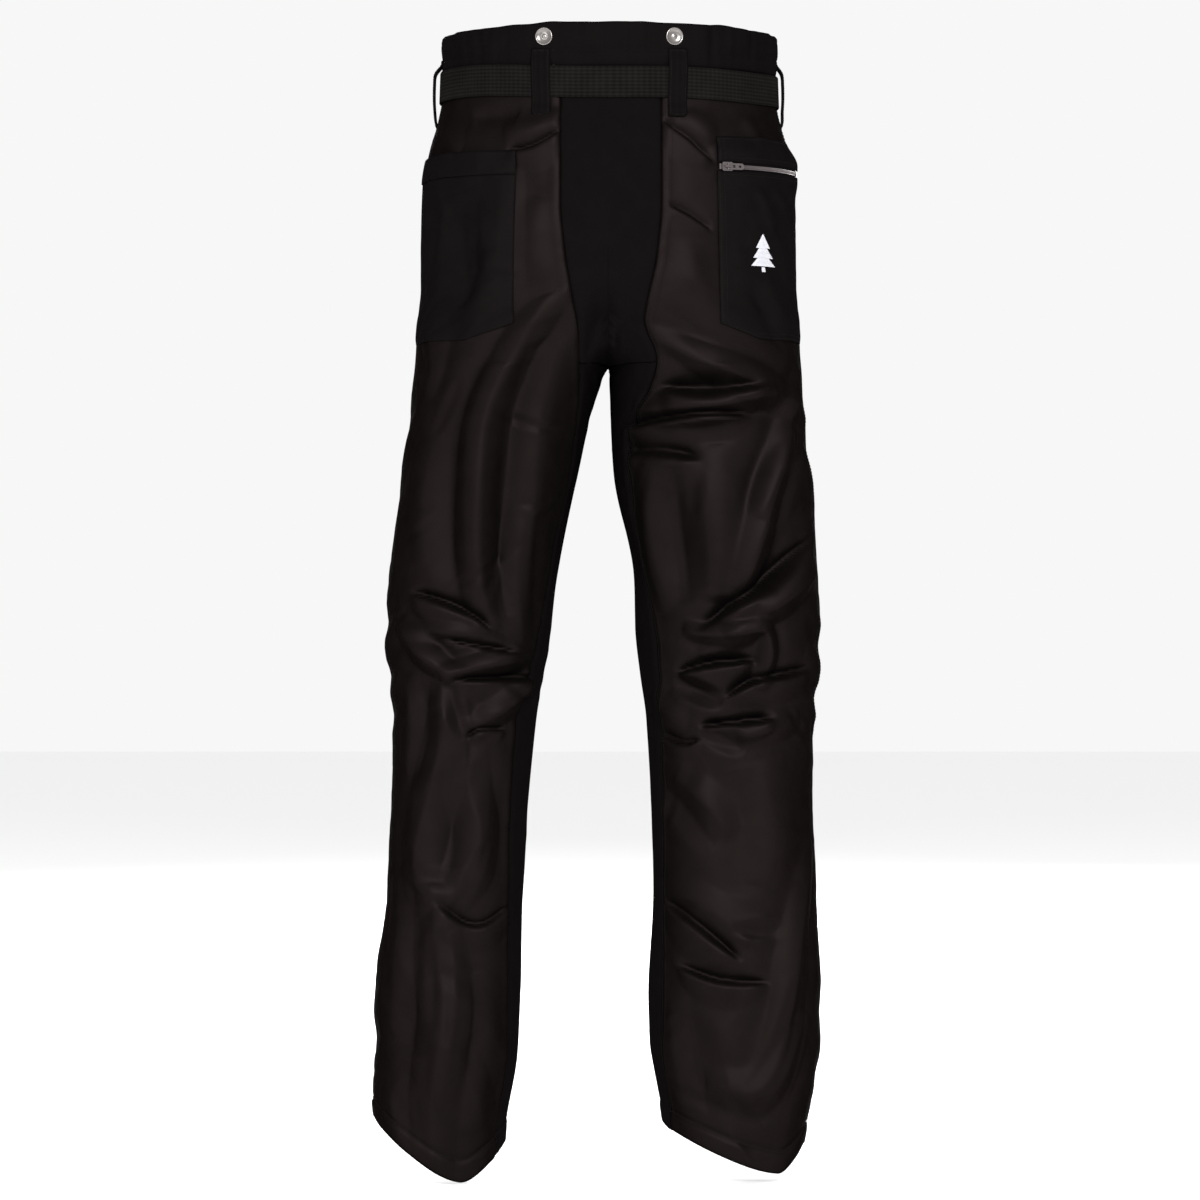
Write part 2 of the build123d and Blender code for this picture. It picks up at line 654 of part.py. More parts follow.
def make_pocket_zip():
    """The right back pocket: patches above and below a zip that follows an arc round the hip."""
    _, _, radius = zip_circle()
    first, last = zip_angle(ZIP_START_X), ZIP_END_ANGLE
    cloth = (radius - POCKET_FABRIC, radius)
    low, high = GAP, GAP + POCKET_FABRIC
    mouth_top, mouth_foot = ZIP_Z + ZIP_HALF_GAP, ZIP_Z - ZIP_HALF_GAP
    ends = (first - FACING_OVERLAP / 3, last + FACING_OVERLAP)
    upper = arc_band(*cloth, mouth_top, mouth_top + FACING_WIDTH, *ends)
    lower = arc_band(*cloth, mouth_foot - FACING_WIDTH, mouth_foot, *ends)
    top_z, top_x = ZIP_POCKET_TOP_ROW
    upper_rows = [(top_z, top_x, PATCH_EDGE), (mouth_top + FACING_WIDTH + GAP, top_x, PATCH_EDGE)]
    lower_rows = [(mouth_foot - FACING_WIDTH - GAP, top_x + 1, PATCH_EDGE)]
    lower_rows += [(z, x, PATCH_EDGE) for z, x in ZIP_POCKET_ROWS]
    save("zip_pocket_upper_patch", patch(RIGHT, upper_rows, low, high))
    save("zip_pocket_lower_patch", patch(RIGHT, lower_rows, low, high))
    save("pocket_zip_facings", Compound([upper.solid(), lower.solid()]))
    tape_half = ZIP_HALF_GAP + TAPE_BESIDE_GAP
    tape_low, tape_high = TAPE_LEVELS
    tape = arc_band(radius + tape_low, radius + tape_high, ZIP_Z - tape_half, ZIP_Z + tape_half, first, last)
    save("pocket_zip_tape", tape)
    inset = COIL_END_INSET / radius
    coil = arc_band(radius + tape_high + 0.01, radius + COIL_PROUD, ZIP_Z - COIL_HALF_WIDTH,
                    ZIP_Z + COIL_HALF_WIDTH, first + inset, last - inset)
    save("pocket_zip_coil", coil)
    stops = []
    for angle in (first + inset / 2, last - inset / 2):
        height = STOP_LEVELS[1] - STOP_LEVELS[0]
        middle = (STOP_LEVELS[1] + STOP_LEVELS[0]) / 2
        stops.append(zip_plane(angle) * Pos(0, 0, middle) * Box(STOP_LENGTH, 2 * STOP_HALF, height))
    save("pocket_zip_stops", Compound([s for stop in stops for s in stop.solids()]))
    start = first + (2.4 + SLIDER_LENGTH / 2) / radius
    stop = last - (2.6 + SLIDER_LENGTH / 2) / radius
    frame = zip_plane(start)
    save("pocket_zip_slider", frame * slider_body())
    save("pocket_zip_pull", frame * pull_tab())
    cx, cy, _ = zip_circle()
    print(f"pocket zip axis x {cx:.3f} y {cy:.3f} radius {radius:.3f} travel {degrees(stop - start):.2f} deg")
    hinge = frame * Pos(0, 0, HINGE_UP)
    print("pocket pull hinge", [round(v, 3) for v in hinge.position], "axis 0 0 1")


def zip_plane(angle):
    """A frame on the zip's circle: x along the zip, y up, z outwards."""
    _, _, radius = zip_circle()
    return Plane(origin=circle_point(radius, angle, ZIP_Z), x_dir=(-sin(angle), cos(angle), 0),
                 z_dir=(cos(angle), sin(angle), 0))


def slider_body():
    """A slider riding on the coil: a top plate, two side rails and the bridge that holds the pull."""
    plate = Pos(0, 0, SLIDER_OUT + SLIDER_PLATE / 2) * Box(SLIDER_LENGTH, 2 * SLIDER_HALF_WIDTH, SLIDER_PLATE)
    body = fillet(plate.edges().filter_by(Axis.Z), 1.8)
    rail_height = SLIDER_OUT + 1.3
    for side in (-1, 1):
        rail = Box(SLIDER_LENGTH - 3, 0.8, rail_height)
        body += Pos(0, side * 2.6, SLIDER_OUT - rail_height / 2) * rail
    bridge = Pos(0, 0, PLATE_TOP + BRIDGE[2] / 2) * Box(*BRIDGE)
    bridge -= Pos(0, 0, PLATE_TOP + BRIDGE_EYE[2] / 2) * Box(*BRIDGE_EYE)
    return body + bridge


def pull_tab():
    """The pull, lying along +X, with the bar that turns in the slider's bridge."""
    tab = Pos(PULL_LENGTH / 2, 0, 0) * Box(PULL_LENGTH, PULL_WIDTH, PULL_THICK)
    tab = fillet(tab.edges().filter_by(Axis.Z).sort_by(Axis.X)[-2:], 2.2)
    tab -= Pos(1.2 + 2.6, 0, 0) * Box(7.0, 2.6, 4)
    tab -= Pos(-5, 0, 0) * Box(10, 20, 10)
    tab -= Pos(PULL_LENGTH - 4, 0, 0) * Cylinder(1.3, 4)
    bar = Rot(90, 0, 0) * Cylinder(PULL_BAR_R, PULL_WIDTH)
    return Pos(0, 0, HINGE_UP) * (tab + bar)


# ---- fly and hand pockets ----------------------------------------------------------------

def fly_plane(z):
    """A frame on the front centre line: x down the fly, z outwards."""
    upper, lower = section_at(RIGHT, CASING_BOTTOM_Z), section_at(RIGHT, -141)
    top = Vector(0, upper[3] + upper[4], CASING_BOTTOM_Z)
    foot = Vector(0, lower[3] + lower[4], -141)
    down = (foot - top).normalized()
    outwards = Vector(0, -down.Z, down.Y)
    return Plane(origin=top + down * ((CASING_BOTTOM_Z - z) / -down.Z), x_dir=down, z_dir=outwards)


def fly_slab(top, bottom, half, low, high):
    """A straight strip down the fly between two heights and two levels."""
    frame = fly_plane(top)
    length = (top - bottom) / -frame.x_dir.Z
    return frame * Pos(length / 2, 0, (low + high) / 2) * Box(length, 2 * half, high - low)


def make_fly():
    """The fly's tape, coil, stops, slider, pull and the underlap behind them."""
    top, bottom = FLY_TOP_Z, FLY_BOTTOM_Z
    tape_high = TAPE_LEVELS[1]
    save("fly_zip_tape", fly_slab(top, bottom, ZIP_HALF_GAP + FLY_TAPE_BESIDE_GAP, *TAPE_LEVELS))
    save("fly_zip_coil", fly_slab(top - 3, bottom + 3, COIL_HALF_WIDTH, tape_high + 0.01, COIL_PROUD))
    save("fly_underlap", fly_slab(CASING_BOTTOM_Z - 2, bottom - 12, FLY_HALF, *FLY_UNDERLAP))
    upper_stop = fly_slab(top - 0.6, top - 2.6, STOP_HALF, *STOP_LEVELS)
    lower_stop = fly_slab(bottom + 2.6, bottom + 0.6, STOP_HALF, *STOP_LEVELS)
    save("fly_zip_stops", Compound([upper_stop.solid(), lower_stop.solid()]))
    start = fly_plane(top - 3 - SLIDER_LENGTH / 2)
    stop = fly_plane(bottom + 3 + SLIDER_LENGTH / 2)
    save("fly_zip_slider", start * slider_body())
    save("fly_zip_pull", start * pull_tab())
    travel = (stop.origin - start.origin).length
    print("fly axis", [round(v, 5) for v in start.x_dir], f"travel {travel:.1f} mm")
    print("fly pull hinge", [round(v, 3) for v in (start * Pos(0, 0, HINGE_UP)).position])


def make_hand_pockets():
    """Flat, empty pocket bags behind the front panels."""
    for side in (LEFT, RIGHT):
        faces = []
        for z, x, edge in with_stations(side, HAND_POCKET_ROWS):
            section = section_at(side, z)
            lines = []
            for depth in POCKET_BAG:
                begin = angle_of(section, depth, side * x, 1)
                finish = edge if side == RIGHT else pi - edge
                angles = [begin + (finish - begin) * i / 5 for i in range(6)]
                lines.append([section_point(section, depth, angle) for angle in angles])
            outer, inner = lines[0], lines[1][::-1]
            edges = [Spline(*outer), Line(outer[-1], inner[0]), Spline(*inner), Line(inner[-1], outer[0])]
            faces.append(Face(Wire(edges)))
        save(f"{side_name(side)}_hand_pocket_bag", loft(faces, ruled=True))


def make_badge():
    """A small embroidered badge on the zip pocket."""
    low = GAP + POCKET_FABRIC + BADGE_GAP
    save("pocket_badge", patch(RIGHT, BADGE_ROWS, low, low + BADGE_THICK))


def print_girths():
    """Prints the girths that the sections give."""
    for name, z in (("waist", 0), ("hip", -141), ("thigh", -285), ("knee", -517), ("hem", -980)):
        section = section_at(RIGHT, z)
        points = [section_point(section, 0, 2 * pi * i / 360) for i in range(361)]
        girth = sum(hypot(p[0] - q[0], p[1] - q[1]) for p, q in zip(points, points[1:]))
        print(f"{name} girth {girth:.0f} mm")


for make in (print_girths, make_outer_panels, make_hem_bands, make_pads_and_linings, make_waistband,
             make_buttons, make_belt, make_loops, make_buckle, make_open_pocket, make_pocket_zip,
             make_fly, make_hand_pockets, make_badge):
    make()
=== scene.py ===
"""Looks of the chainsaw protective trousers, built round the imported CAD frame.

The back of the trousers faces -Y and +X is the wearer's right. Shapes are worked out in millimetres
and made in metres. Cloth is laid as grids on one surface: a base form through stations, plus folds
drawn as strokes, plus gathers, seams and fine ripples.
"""

import math
import random

import bpy
import numpy as np
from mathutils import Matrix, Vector


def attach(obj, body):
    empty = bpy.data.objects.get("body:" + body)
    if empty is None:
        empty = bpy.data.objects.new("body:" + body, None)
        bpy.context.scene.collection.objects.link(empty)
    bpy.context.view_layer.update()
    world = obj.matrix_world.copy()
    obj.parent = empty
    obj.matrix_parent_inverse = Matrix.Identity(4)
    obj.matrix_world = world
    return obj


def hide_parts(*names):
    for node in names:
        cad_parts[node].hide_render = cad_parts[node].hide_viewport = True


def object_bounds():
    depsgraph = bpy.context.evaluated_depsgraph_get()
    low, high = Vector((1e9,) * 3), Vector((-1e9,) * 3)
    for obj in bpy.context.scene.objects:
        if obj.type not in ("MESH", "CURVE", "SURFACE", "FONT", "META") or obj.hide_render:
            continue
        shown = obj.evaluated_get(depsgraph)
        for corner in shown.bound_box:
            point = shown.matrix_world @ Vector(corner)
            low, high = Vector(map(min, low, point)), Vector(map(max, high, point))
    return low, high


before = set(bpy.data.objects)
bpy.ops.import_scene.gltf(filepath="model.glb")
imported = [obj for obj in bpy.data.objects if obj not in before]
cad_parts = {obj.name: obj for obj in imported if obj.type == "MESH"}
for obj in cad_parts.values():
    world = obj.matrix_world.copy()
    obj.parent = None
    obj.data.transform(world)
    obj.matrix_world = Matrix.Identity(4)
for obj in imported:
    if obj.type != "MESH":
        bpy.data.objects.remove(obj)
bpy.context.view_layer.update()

MM = 0.001
LEFT, RIGHT = -1, 1
BACK, FRONT = -1, 1
SIDE_NAMES = {LEFT: "left", RIGHT: "right"}
OUTER = {LEFT: math.pi, RIGHT: 0.0}  # the angle of each leg's outer side
random.seed(7)

# ---- base form, in millimetres: z, centre x, half width, half depth, centre y ------------------

TRUNK = [(57, 160, 105.5, -0.5), (30, 159, 106, 0), (0, 159, 107.3, 0.35), (-25, 163, 110, -1),
         (-54, 171, 114.8, -4.2), (-83, 177, 118.2, -6), (-141, 179, 123.4, -8)]
LEG = {
    RIGHT: [(-199, 25, 155, 122.6, -4), (-230, 60, 122, 118, -3), (-252, 84, 99.5, 113, -2),
            (-264, 92.5, 92, 110, 0), (-285, 93.5, 92, 107, 0), (-372, 100, 94, 101, 2),
            (-459, 113, 89, 94, 5), (-517, 115, 89, 90, 7), (-604, 117, 81, 84, 5), (-691, 118, 77, 79, 2),
            (-778, 121, 78, 78, 0), (-864, 121, 82.5, 80, 0), (-922, 121, 81, 80, 0), (-980, 120, 70, 76, 0),
            (-1075, 121, 59, 70, 0)],
    LEFT: [(-199, -25, 155, 122.6, -4), (-230, -62, 122, 118, -3), (-252, -86, 99.5, 113, -2),
           (-264, -93.5, 93, 110, 0), (-285, -99, 90, 107, 0), (-372, -115, 84, 101, 2),
           (-459, -130, 81.5, 94, 5), (-517, -135, 79, 90, 7), (-604, -139, 69, 84, 5),
           (-691, -143, 65, 79, 2), (-778, -148, 65, 78, 0), (-864, -155, 70, 80, 0),
           (-922, -156, 68, 80, 0), (-980, -163, 64, 76, 0), (-1075, -161, 55, 70, 0)],
}
SQUARENESS = 2.15  # power of the sections' outline: 2 is an ellipse
NUDGE = 0.002  # a small turn, in radians, that gives the direction along the cloth
SEAM = {
    RIGHT: [(49, 60), (49, -125), (44, -170), (35, -207), (31, -232), (43, -250), (45, -268), (34, -295),
            (19, -322), (17, -350), (21, -400), (32, -455), (44, -520), (47, -560), (50, -720), (50, -922),
            (58, -980), (67, -1080)],
    LEFT: [(-46, 60), (-46, -125), (-41, -170), (-34, -207), (-29, -232), (-28, -256), (-28, -300),
           (-35, -360), (-51, -430), (-65, -515), (-75, -560), (-87, -596), (-91, -640), (-96, -800),
           (-97, -922), (-107, -980), (-113, -1080)],
}
CROTCH_Z = -264.0
FLY_GAP = 3.2
CASING_Z = 30.0  # foot of the waistband casing
PANEL_TOP_Z = CASING_Z + 1.5  # the panels run up under the casing
BELT_FOOT_Z = -17.0
HEM_CALM_Z = -985.0  # folds are weaker below this
WAIST_TOP_Z = 56.0
# Each hem: mean height, slope across, slope along the depth, and where its low point is (-1 to 1).
HEM = {RIGHT: (-1002, -0.15, 0.35, 0.6), LEFT: (-999, -0.20, 0.50, 0.32)}
HEM_CENTRE_X = {RIGHT: 121, LEFT: -163}
HEM_SPREAD = 150.0  # the slope fades out over this height
HEM_STITCH = 20.0  # height of the stitching above the hem
CLOTH = 0.8  # thickness of the shell cloth
TURN_RADIUS = 132  # mean radius of the waist

# The pocket zip lies on an arc about an upright axis, and its slider runs round it.
ZIP_AXIS = Vector((65.735, 2.623))
ZIP_RADIUS = 117.789
ZIP_Z = -80.0
ZIP_HALF_GAP = 3.2
ZIP_START_ANGLE = -1.244
ZIP_END_ANGLE = -0.27


def hermite(table, column, z):
    """A smooth curve through the stations of one column."""
    zs = table[:, 0]
    values = table[:, column]
    slopes = np.gradient(values, zs)
    i = np.clip(np.searchsorted(-zs, -z) - 1, 0, len(zs) - 2)
    z0, z1 = zs[i], zs[i + 1]
    h = z1 - z0
    t = np.clip((z - z0) / h, 0, 1)
    delta = (values[i + 1] - values[i]) / h
    m0, m1 = slopes[i], slopes[i + 1]
    limit = 3 * np.abs(delta)
    m0 = np.where(m0 * delta > 0, np.sign(delta) * np.minimum(np.abs(m0), limit), 0)
    m1 = np.where(m1 * delta > 0, np.sign(delta) * np.minimum(np.abs(m1), limit), 0)
    t2, t3 = t * t, t * t * t
    return ((2 * t3 - 3 * t2 + 1) * values[i] + (t3 - 2 * t2 + t) * h * m0
            + (3 * t2 - 2 * t3) * values[i + 1] + (t3 - t2) * h * m1)


TABLES = {side: np.array([(z, 0, a, b, cy) for z, a, b, cy in TRUNK] + LEG[side], float) for side in LEG}


def section(side, z):
    """Centre x, half width, half depth and centre y at each height."""
    table = TABLES[side]
    return [hermite(table, column, z) for column in (1, 2, 3, 4)]


def base_point(side, angle, z, inset=0.0):
    """Points on the base form, in millimetres; inset moves them in."""
    angle, z = np.broadcast_arrays(np.asarray(angle, float), np.asarray(z, float))
    cx, a, b, cy = section(side, z)
    power = 2 / SQUARENESS
    c, s = np.cos(angle), np.sin(angle)
    x = cx + (a - inset) * np.sign(c) * np.abs(c) ** power
    y = cy + (b - inset) * np.sign(s) * np.abs(s) ** power
    return np.stack([x, y, z], -1)


def angle_of(side, x, z, half, inset=0.0, slit=0.004):
    """The angle on the outline at a given x, on the back (-1) or front (+1)."""
    x, z = np.broadcast_arrays(np.asarray(x, float), np.asarray(z, float))
    cx, a, _, _ = section(side, z)
    share = np.clip((x - cx) / (a - inset), -1, 1)
    c = np.sign(share) * np.abs(share) ** (SQUARENESS / 2)
    return half * np.clip(np.arccos(c), slit, math.pi - slit)


def seam_x(side, z):
    """Where the seat or inner panel's seam lies, with the corners between its points rounded."""
    table = np.array(SEAM[side], float)[::-1]
    z = np.asarray(z, float)
    return np.mean([np.interp(z + shift, table[:, 1], table[:, 0]) for shift in (-9, -4.5, 0, 4.5, 9)], 0)


def smooth(t):
    t = np.clip(t, 0, 1)
    return t * t * (3 - 2 * t)


def bump_at(x, centre, width):
    return np.exp(-((x - centre) / width) ** 2)


def fly_gap(z):
    """Half the gap between the front panels: open beside the zip, closed below it."""
    return FLY_GAP * smooth((z + 172) / 10)


# ---- arc length round each leg, so that folds are drawn on flat cloth --------------------------

ARC_STEPS = 360
ARC_DROP = 6.0  # height between the table's rows
ARC_Z = np.arange(60.0, -1085.0, -ARC_DROP)


def arc_table(side):
    """Arc length from the back centre (angle -90 degrees), for a grid of angles and heights."""
    angles = np.linspace(-1.5 * math.pi, 0.5 * math.pi, ARC_STEPS + 1)
    grid = base_point(side, angles[None, :], ARC_Z[:, None])
    steps = np.linalg.norm(np.diff(grid, axis=1), axis=-1)
    lengths = np.concatenate([np.zeros((len(ARC_Z), 1)), np.cumsum(steps, 1)], 1)
    middle = lengths[:, ARC_STEPS // 2][:, None]
    return angles, lengths - middle, lengths[:, -1]


ARCS = {side: arc_table(side) for side in (LEFT, RIGHT)}


def wrap(angle):
    """Angles between -270 and +90 degrees."""
    return (angle + 1.5 * math.pi) % (2 * math.pi) - 1.5 * math.pi


def arc_of(side, angle, z):
    """Distance round the section from its back centre, and the girth there."""
    angles, lengths, girths = ARCS[side]
    u = (wrap(angle) - angles[0]) / (angles[1] - angles[0])
    v = np.clip((ARC_Z[0] - z) / ARC_DROP, 0, len(ARC_Z) - 1.001)
    i = np.clip(u.astype(int), 0, ARC_STEPS - 1)
    j = v.astype(int)
    fu, fv = u - i, v - j
    top = lengths[j, i] * (1 - fu) + lengths[j, i + 1] * fu
    low = lengths[j + 1, i] * (1 - fu) + lengths[j + 1, i + 1] * fu
    return top * (1 - fv) + low * fv, girths[j]


# ---- folds: strokes drawn on the cloth ---------------------------------------------------------
# Each stroke: kind, height, width, points (x, z) on the back or front of one leg, all millimetres.

BACK_FOLDS = {
    LEFT: [
        ("ridge", 14, 13, [(-56, -200), (-99, -276), (-115, -320), (-121, -378), (-124, -436),
                           (-120, -479), (-111, -520)]),
        ("valley", 8, 17, [(-66, -226), (-92, -300), (-100, -345), (-102, -400), (-102, -450), (-98, -505)]),
        ("ridge", 4, 11, [(-78, -400), (-86, -436), (-88, -479), (-82, -535)]),
        ("valley", 4, 14, [(-150, -330), (-152, -420), (-142, -480)]),
        ("soft", 4, 22, [(-172, -300), (-180, -380), (-176, -455)]),
        ("tuck", 10, 9, [(-190, -480), (-157, -490), (-128, -503), (-109, -518)]),
        ("ridge", 4, 6, [(-194, -516), (-150, -519), (-112, -527), (-84, -535)]),
        ("tuck", 7, 6, [(-160, -525), (-120, -532), (-84, -539)]),
        ("ridge", 10, 8, [(-200, -508), (-178, -536), (-146, -562)]),
        ("ridge", 8, 8, [(-160, -560), (-116, -550), (-74, -541)]),
        ("tuck", 11, 8, [(-152, -565), (-111, -562), (-70, -563)]),
        ("valley", 4, 5, [(-152, -566), (-146, -592), (-137, -620)]),
        ("ridge", 7, 9, [(-132, -612), (-98, -588), (-68, -562)]),
        ("ridge", 11, 12, [(-149, -560), (-160, -640), (-178, -715), (-180, -752), (-166, -780)]),
        ("ridge", 8, 11, [(-138, -600), (-133, -668), (-124, -705), (-128, -745), (-150, -776)]),
        ("valley", 6, 16, [(-146, -600), (-149, -660), (-152, -710), (-154, -742)]),
        ("tuck", 6, 6, [(-137, -620), (-123, -611), (-97, -611)]),
        ("ridge", 11, 12, [(-167, -756), (-162, -831), (-157, -878), (-166, -940), (-168, -1000)]),
        ("ridge", 5, 8, [(-150, -800), (-147, -850), (-149, -890), (-160, -945)]),
        ("valley", 5, 9, [(-158, -800), (-153, -850), (-151, -900)]),
        ("tuck", 6, 8, [(-166, -772), (-140, -792), (-118, -795), (-92, -778)]),
        ("ridge", 5, 11, [(-201, -735), (-199, -790), (-196, -835), (-172, -884)]),
        ("valley", 5, 12, [(-184, -790), (-182, -850), (-190, -910)]),
        ("soft", 5, 16, [(-125, -840), (-122, -900), (-132, -960)]),
        ("valley", 4, 9, [(-130, -890), (-110, -930), (-104, -975)]),
        ("ridge", 5, 12, [(-195, -930), (-205, -965), (-190, -1000)]),
        ("soft", -4, 18, [(-120, -640), (-108, -700), (-112, -750)]),
        ("ridge", 4, 9, [(-192, -560), (-186, -610), (-192, -655)]),
        ("soft", 4, 12, [(-40, -34), (-70, -45), (-100, -48)]),
        ("tuck", 6, 8, [(-98, -66), (-72, -60), (-44, -46)]),
        ("soft", -5, 14, [(-128, -30), (-104, -24), (-84, -30)]),
        ("ridge", 4, 13, [(-97, -72), (-100, -120), (-103, -180), (-108, -226)]),
        ("soft", 4, 11, [(-110, -160), (-117, -200), (-126, -240)]),
        ("soft", 3, 7, [(-166, -86), (-158, -104), (-150, -128)]),
        ("valley", 5, 14, [(-136, -110), (-138, -160), (-132, -210)]),
        ("ridge", 5, 9, [(-172, -220), (-166, -262), (-176, -300)]),
        ("ridge", 4, 10, [(-158, -34), (-146, -56), (-140, -62)]),
        ("soft", 3, 13, [(-66, -110), (-72, -150), (-64, -190)]),
        ("valley", 4, 9, [(-178, -575), (-176, -620), (-184, -670)]),
    ],
    RIGHT: [
        ("ridge", 9, 12, [(40, -240), (97, -264), (145, -288), (180, -302)]),
        ("tuck", 11, 12, [(44, -286), (90, -291), (148, -282)]),
        ("ridge", 10, 10, [(24, -308), (85, -306), (155, -292)]),
        ("tuck", 12, 10, [(10, -324), (54, -316), (97, -311), (140, -314)]),
        ("tuck", 9, 15, [(14, -346), (50, -347), (90, -355)]),
        ("soft", 8, 26, [(96, -340), (105, -412), (110, -490)]),
        ("valley", 6, 15, [(60, -360), (66, -430), (76, -490)]),
        ("ridge", 9, 9, [(182, -266), (163, -343), (138, -410)]),
        ("valley", 6, 11, [(184, -300), (172, -350), (150, -420)]),
        ("ridge", 10, 10, [(188, -312), (155, -380), (132, -464), (116, -510)]),
        ("valley", 5, 13, [(190, -380), (168, -430), (145, -480)]),
        ("ridge", 5, 14, [(35, -380), (40, -440), (52, -500)]),
        ("tuck", 14, 12, [(82, -518), (120, -490), (149, -473), (181, -444), (196, -426)]),
        ("ridge", 10, 7, [(70, -514), (90, -520), (122, -519), (144, -517), (150, -530),
                          (149, -552), (138, -572)]),
        ("ridge", 9, 11, [(110, -520), (160, -488), (200, -458)]),
        ("tuck", 12, 8, [(60, -558), (97, -548), (142, -545)]),
        ("ridge", 4, 7, [(84, -540), (110, -533), (140, -529)]),
        ("valley", 6, 7, [(62, -562), (84, -575), (108, -585)]),
        ("tuck", 11, 9, [(106, -583), (135, -565), (169, -559), (194, -553)]),
        ("tuck", 11, 7, [(82, -608), (120, -604), (160, -600)]),
        ("valley", 5, 7, [(86, -609), (106, -617), (128, -630)]),
        ("ridge", 5, 8, [(120, -618), (150, -612), (182, -600)]),
        ("tuck", 6, 6, [(48, -616), (71, -624), (88, -619)]),
        ("ridge", 5, 12, [(44, -572), (54, -592), (74, -600)]),
        ("valley", 5, 9, [(48, -664), (74, -690), (100, -722)]),
        ("ridge", 4, 10, [(62, -656), (92, -682), (118, -712)]),
        ("soft", 5, 22, [(150, -640), (156, -700), (150, -760)]),
        ("valley", 4, 14, [(120, -650), (126, -710), (122, -770)]),
        ("tuck", 8, 10, [(50, -774), (88, -800), (128, -832)]),
        ("ridge", 4, 10, [(52, -758), (96, -784), (136, -812)]),
        ("tuck", 8, 8, [(62, -834), (104, -848), (156, -851)]),
        ("valley", 3, 4, [(116, -799), (140, -801), (166, -798)]),
        ("ridge", 11, 10, [(194, -721), (178, -813), (168, -886), (143, -935), (90, -941)]),
        ("ridge", 6, 8, [(190, -880), (158, -930), (124, -952)]),
        ("valley", 6, 9, [(182, -850), (168, -905), (140, -946), (112, -952)]),
        ("valley", 5, 14, [(74, -880), (80, -930), (96, -975)]),
        ("ridge", 4, 12, [(58, -860), (62, -920), (74, -975)]),
        ("soft", -4, 16, [(150, -965), (130, -990)]),
        ("tuck", 6, 8, [(48, -36), (74, -52), (102, -79)]),
        ("soft", 3, 12, [(70, -30), (86, -42), (100, -54)]),
        ("tuck", 4, 6, [(54, -116), (76, -126), (98, -142)]),
        ("soft", 3, 7, [(136, -92), (144, -112), (154, -142)]),
        ("soft", 3, 6, [(152, -92), (159, -106), (170, -128)]),
        ("ridge", 3, 11, [(146, -176), (156, -206), (172, -244)]),
        ("soft", -3, 10, [(138, -186), (146, -214), (158, -248)]),
        ("soft", 3, 9, [(128, -30), (138, -46), (142, -62)]),
        ("soft", 3, 14, [(74, -150), (80, -190), (72, -226)]),
        ("soft", -3, 12, [(80, -190), (74, -222), (78, -250)]),
    ],
}
FRONT_FOLDS = [  # x is counted outwards from the centre line, and both legs share these
    ("valley", 6, 12, [(22, -236), (60, -214), (118, -196)]),
    ("ridge", 5, 12, [(20, -256), (64, -238), (130, -226)]),
    ("valley", 5, 11, [(26, -290), (74, -266), (140, -262)]),
    ("ridge", 4, 12, [(34, -318), (80, -300), (150, -300)]),
    ("soft", 5, 26, [(104, -330), (116, -410), (128, -480)]),
    ("valley", 4, 16, [(66, -330), (80, -400), (106, -480)]),
    ("valley", 4, 13, [(172, -350), (164, -430), (142, -500)]),
    ("valley", 4, 7, [(30, -300), (52, -338), (62, -392)]),
    ("ridge", 3, 8, [(150, -280), (170, -320), (178, -380)]),
    ("ridge", 5, 12, [(60, -500), (112, -514), (184, -498)]),
    ("valley", 6, 9, [(54, -524), (110, -540), (180, -524)]),
    ("ridge", 5, 10, [(60, -552), (116, -562), (188, -544)]),
    ("valley", 6, 8, [(66, -580), (122, -590), (186, -568)]),
    ("ridge", 5, 10, [(70, -604), (126, -612), (190, -596)]),
    ("valley", 4, 9, [(84, -632), (130, -644), (180, -624)]),
    ("soft", 5, 22, [(118, -660), (132, -740), (146, -800)]),
    ("valley", 4, 13, [(92, -660), (108, -750), (130, -830)]),
    ("valley", 4, 11, [(182, -670), (172, -760), (146, -850)]),
    ("valley", 3, 6, [(96, -820), (124, -842), (148, -850)]),
    ("ridge", 5, 11, [(80, -872), (126, -888), (190, -868)]),
    ("valley", 6, 9, [(84, -900), (130, -914), (186, -896)]),
    ("ridge", 5, 10, [(88, -924), (134, -938), (184, -922)]),
    ("valley", 4, 8, [(92, -948), (136, -958), (178, -946)]),
]
SIDE_FOLDS = [  # y at the outer side, and z; both legs share these
    ("valley", 5, 12, [(-40, -300), (0, -330), (40, -340)]),
    ("ridge", 5, 14, [(-40, -340), (0, -372), (46, -384)]),
    ("valley", 4, 16, [(6, -400), (0, -450), (-8, -490)]),
    ("valley", 6, 9, [(-46, -500), (0, -520), (40, -512)]),
    ("ridge", 5, 10, [(-46, -528), (0, -545), (44, -536)]),
    ("valley", 6, 8, [(-40, -560), (0, -572), (46, -566)]),
    ("valley", 5, 9, [(-36, -600), (0, -610), (40, -604)]),
    ("soft", 5, 18, [(4, -660), (8, -720), (0, -790)]),
    ("valley", 5, 10, [(-34, -850), (0, -872), (40, -866)]),
    ("valley", 5, 9, [(-30, -912), (4, -926), (40, -916)]),
]
SMALL_CREASES = 64  # random ones on each leg
FOLD_SCALE = 1.35
TUCK_REACH, FOLD_REACH = 6.0, 4.2  # how far a fold acts, in widths
KNEE_Z, ANKLE_Z = -560, -930  # cloth crumples most at these heights


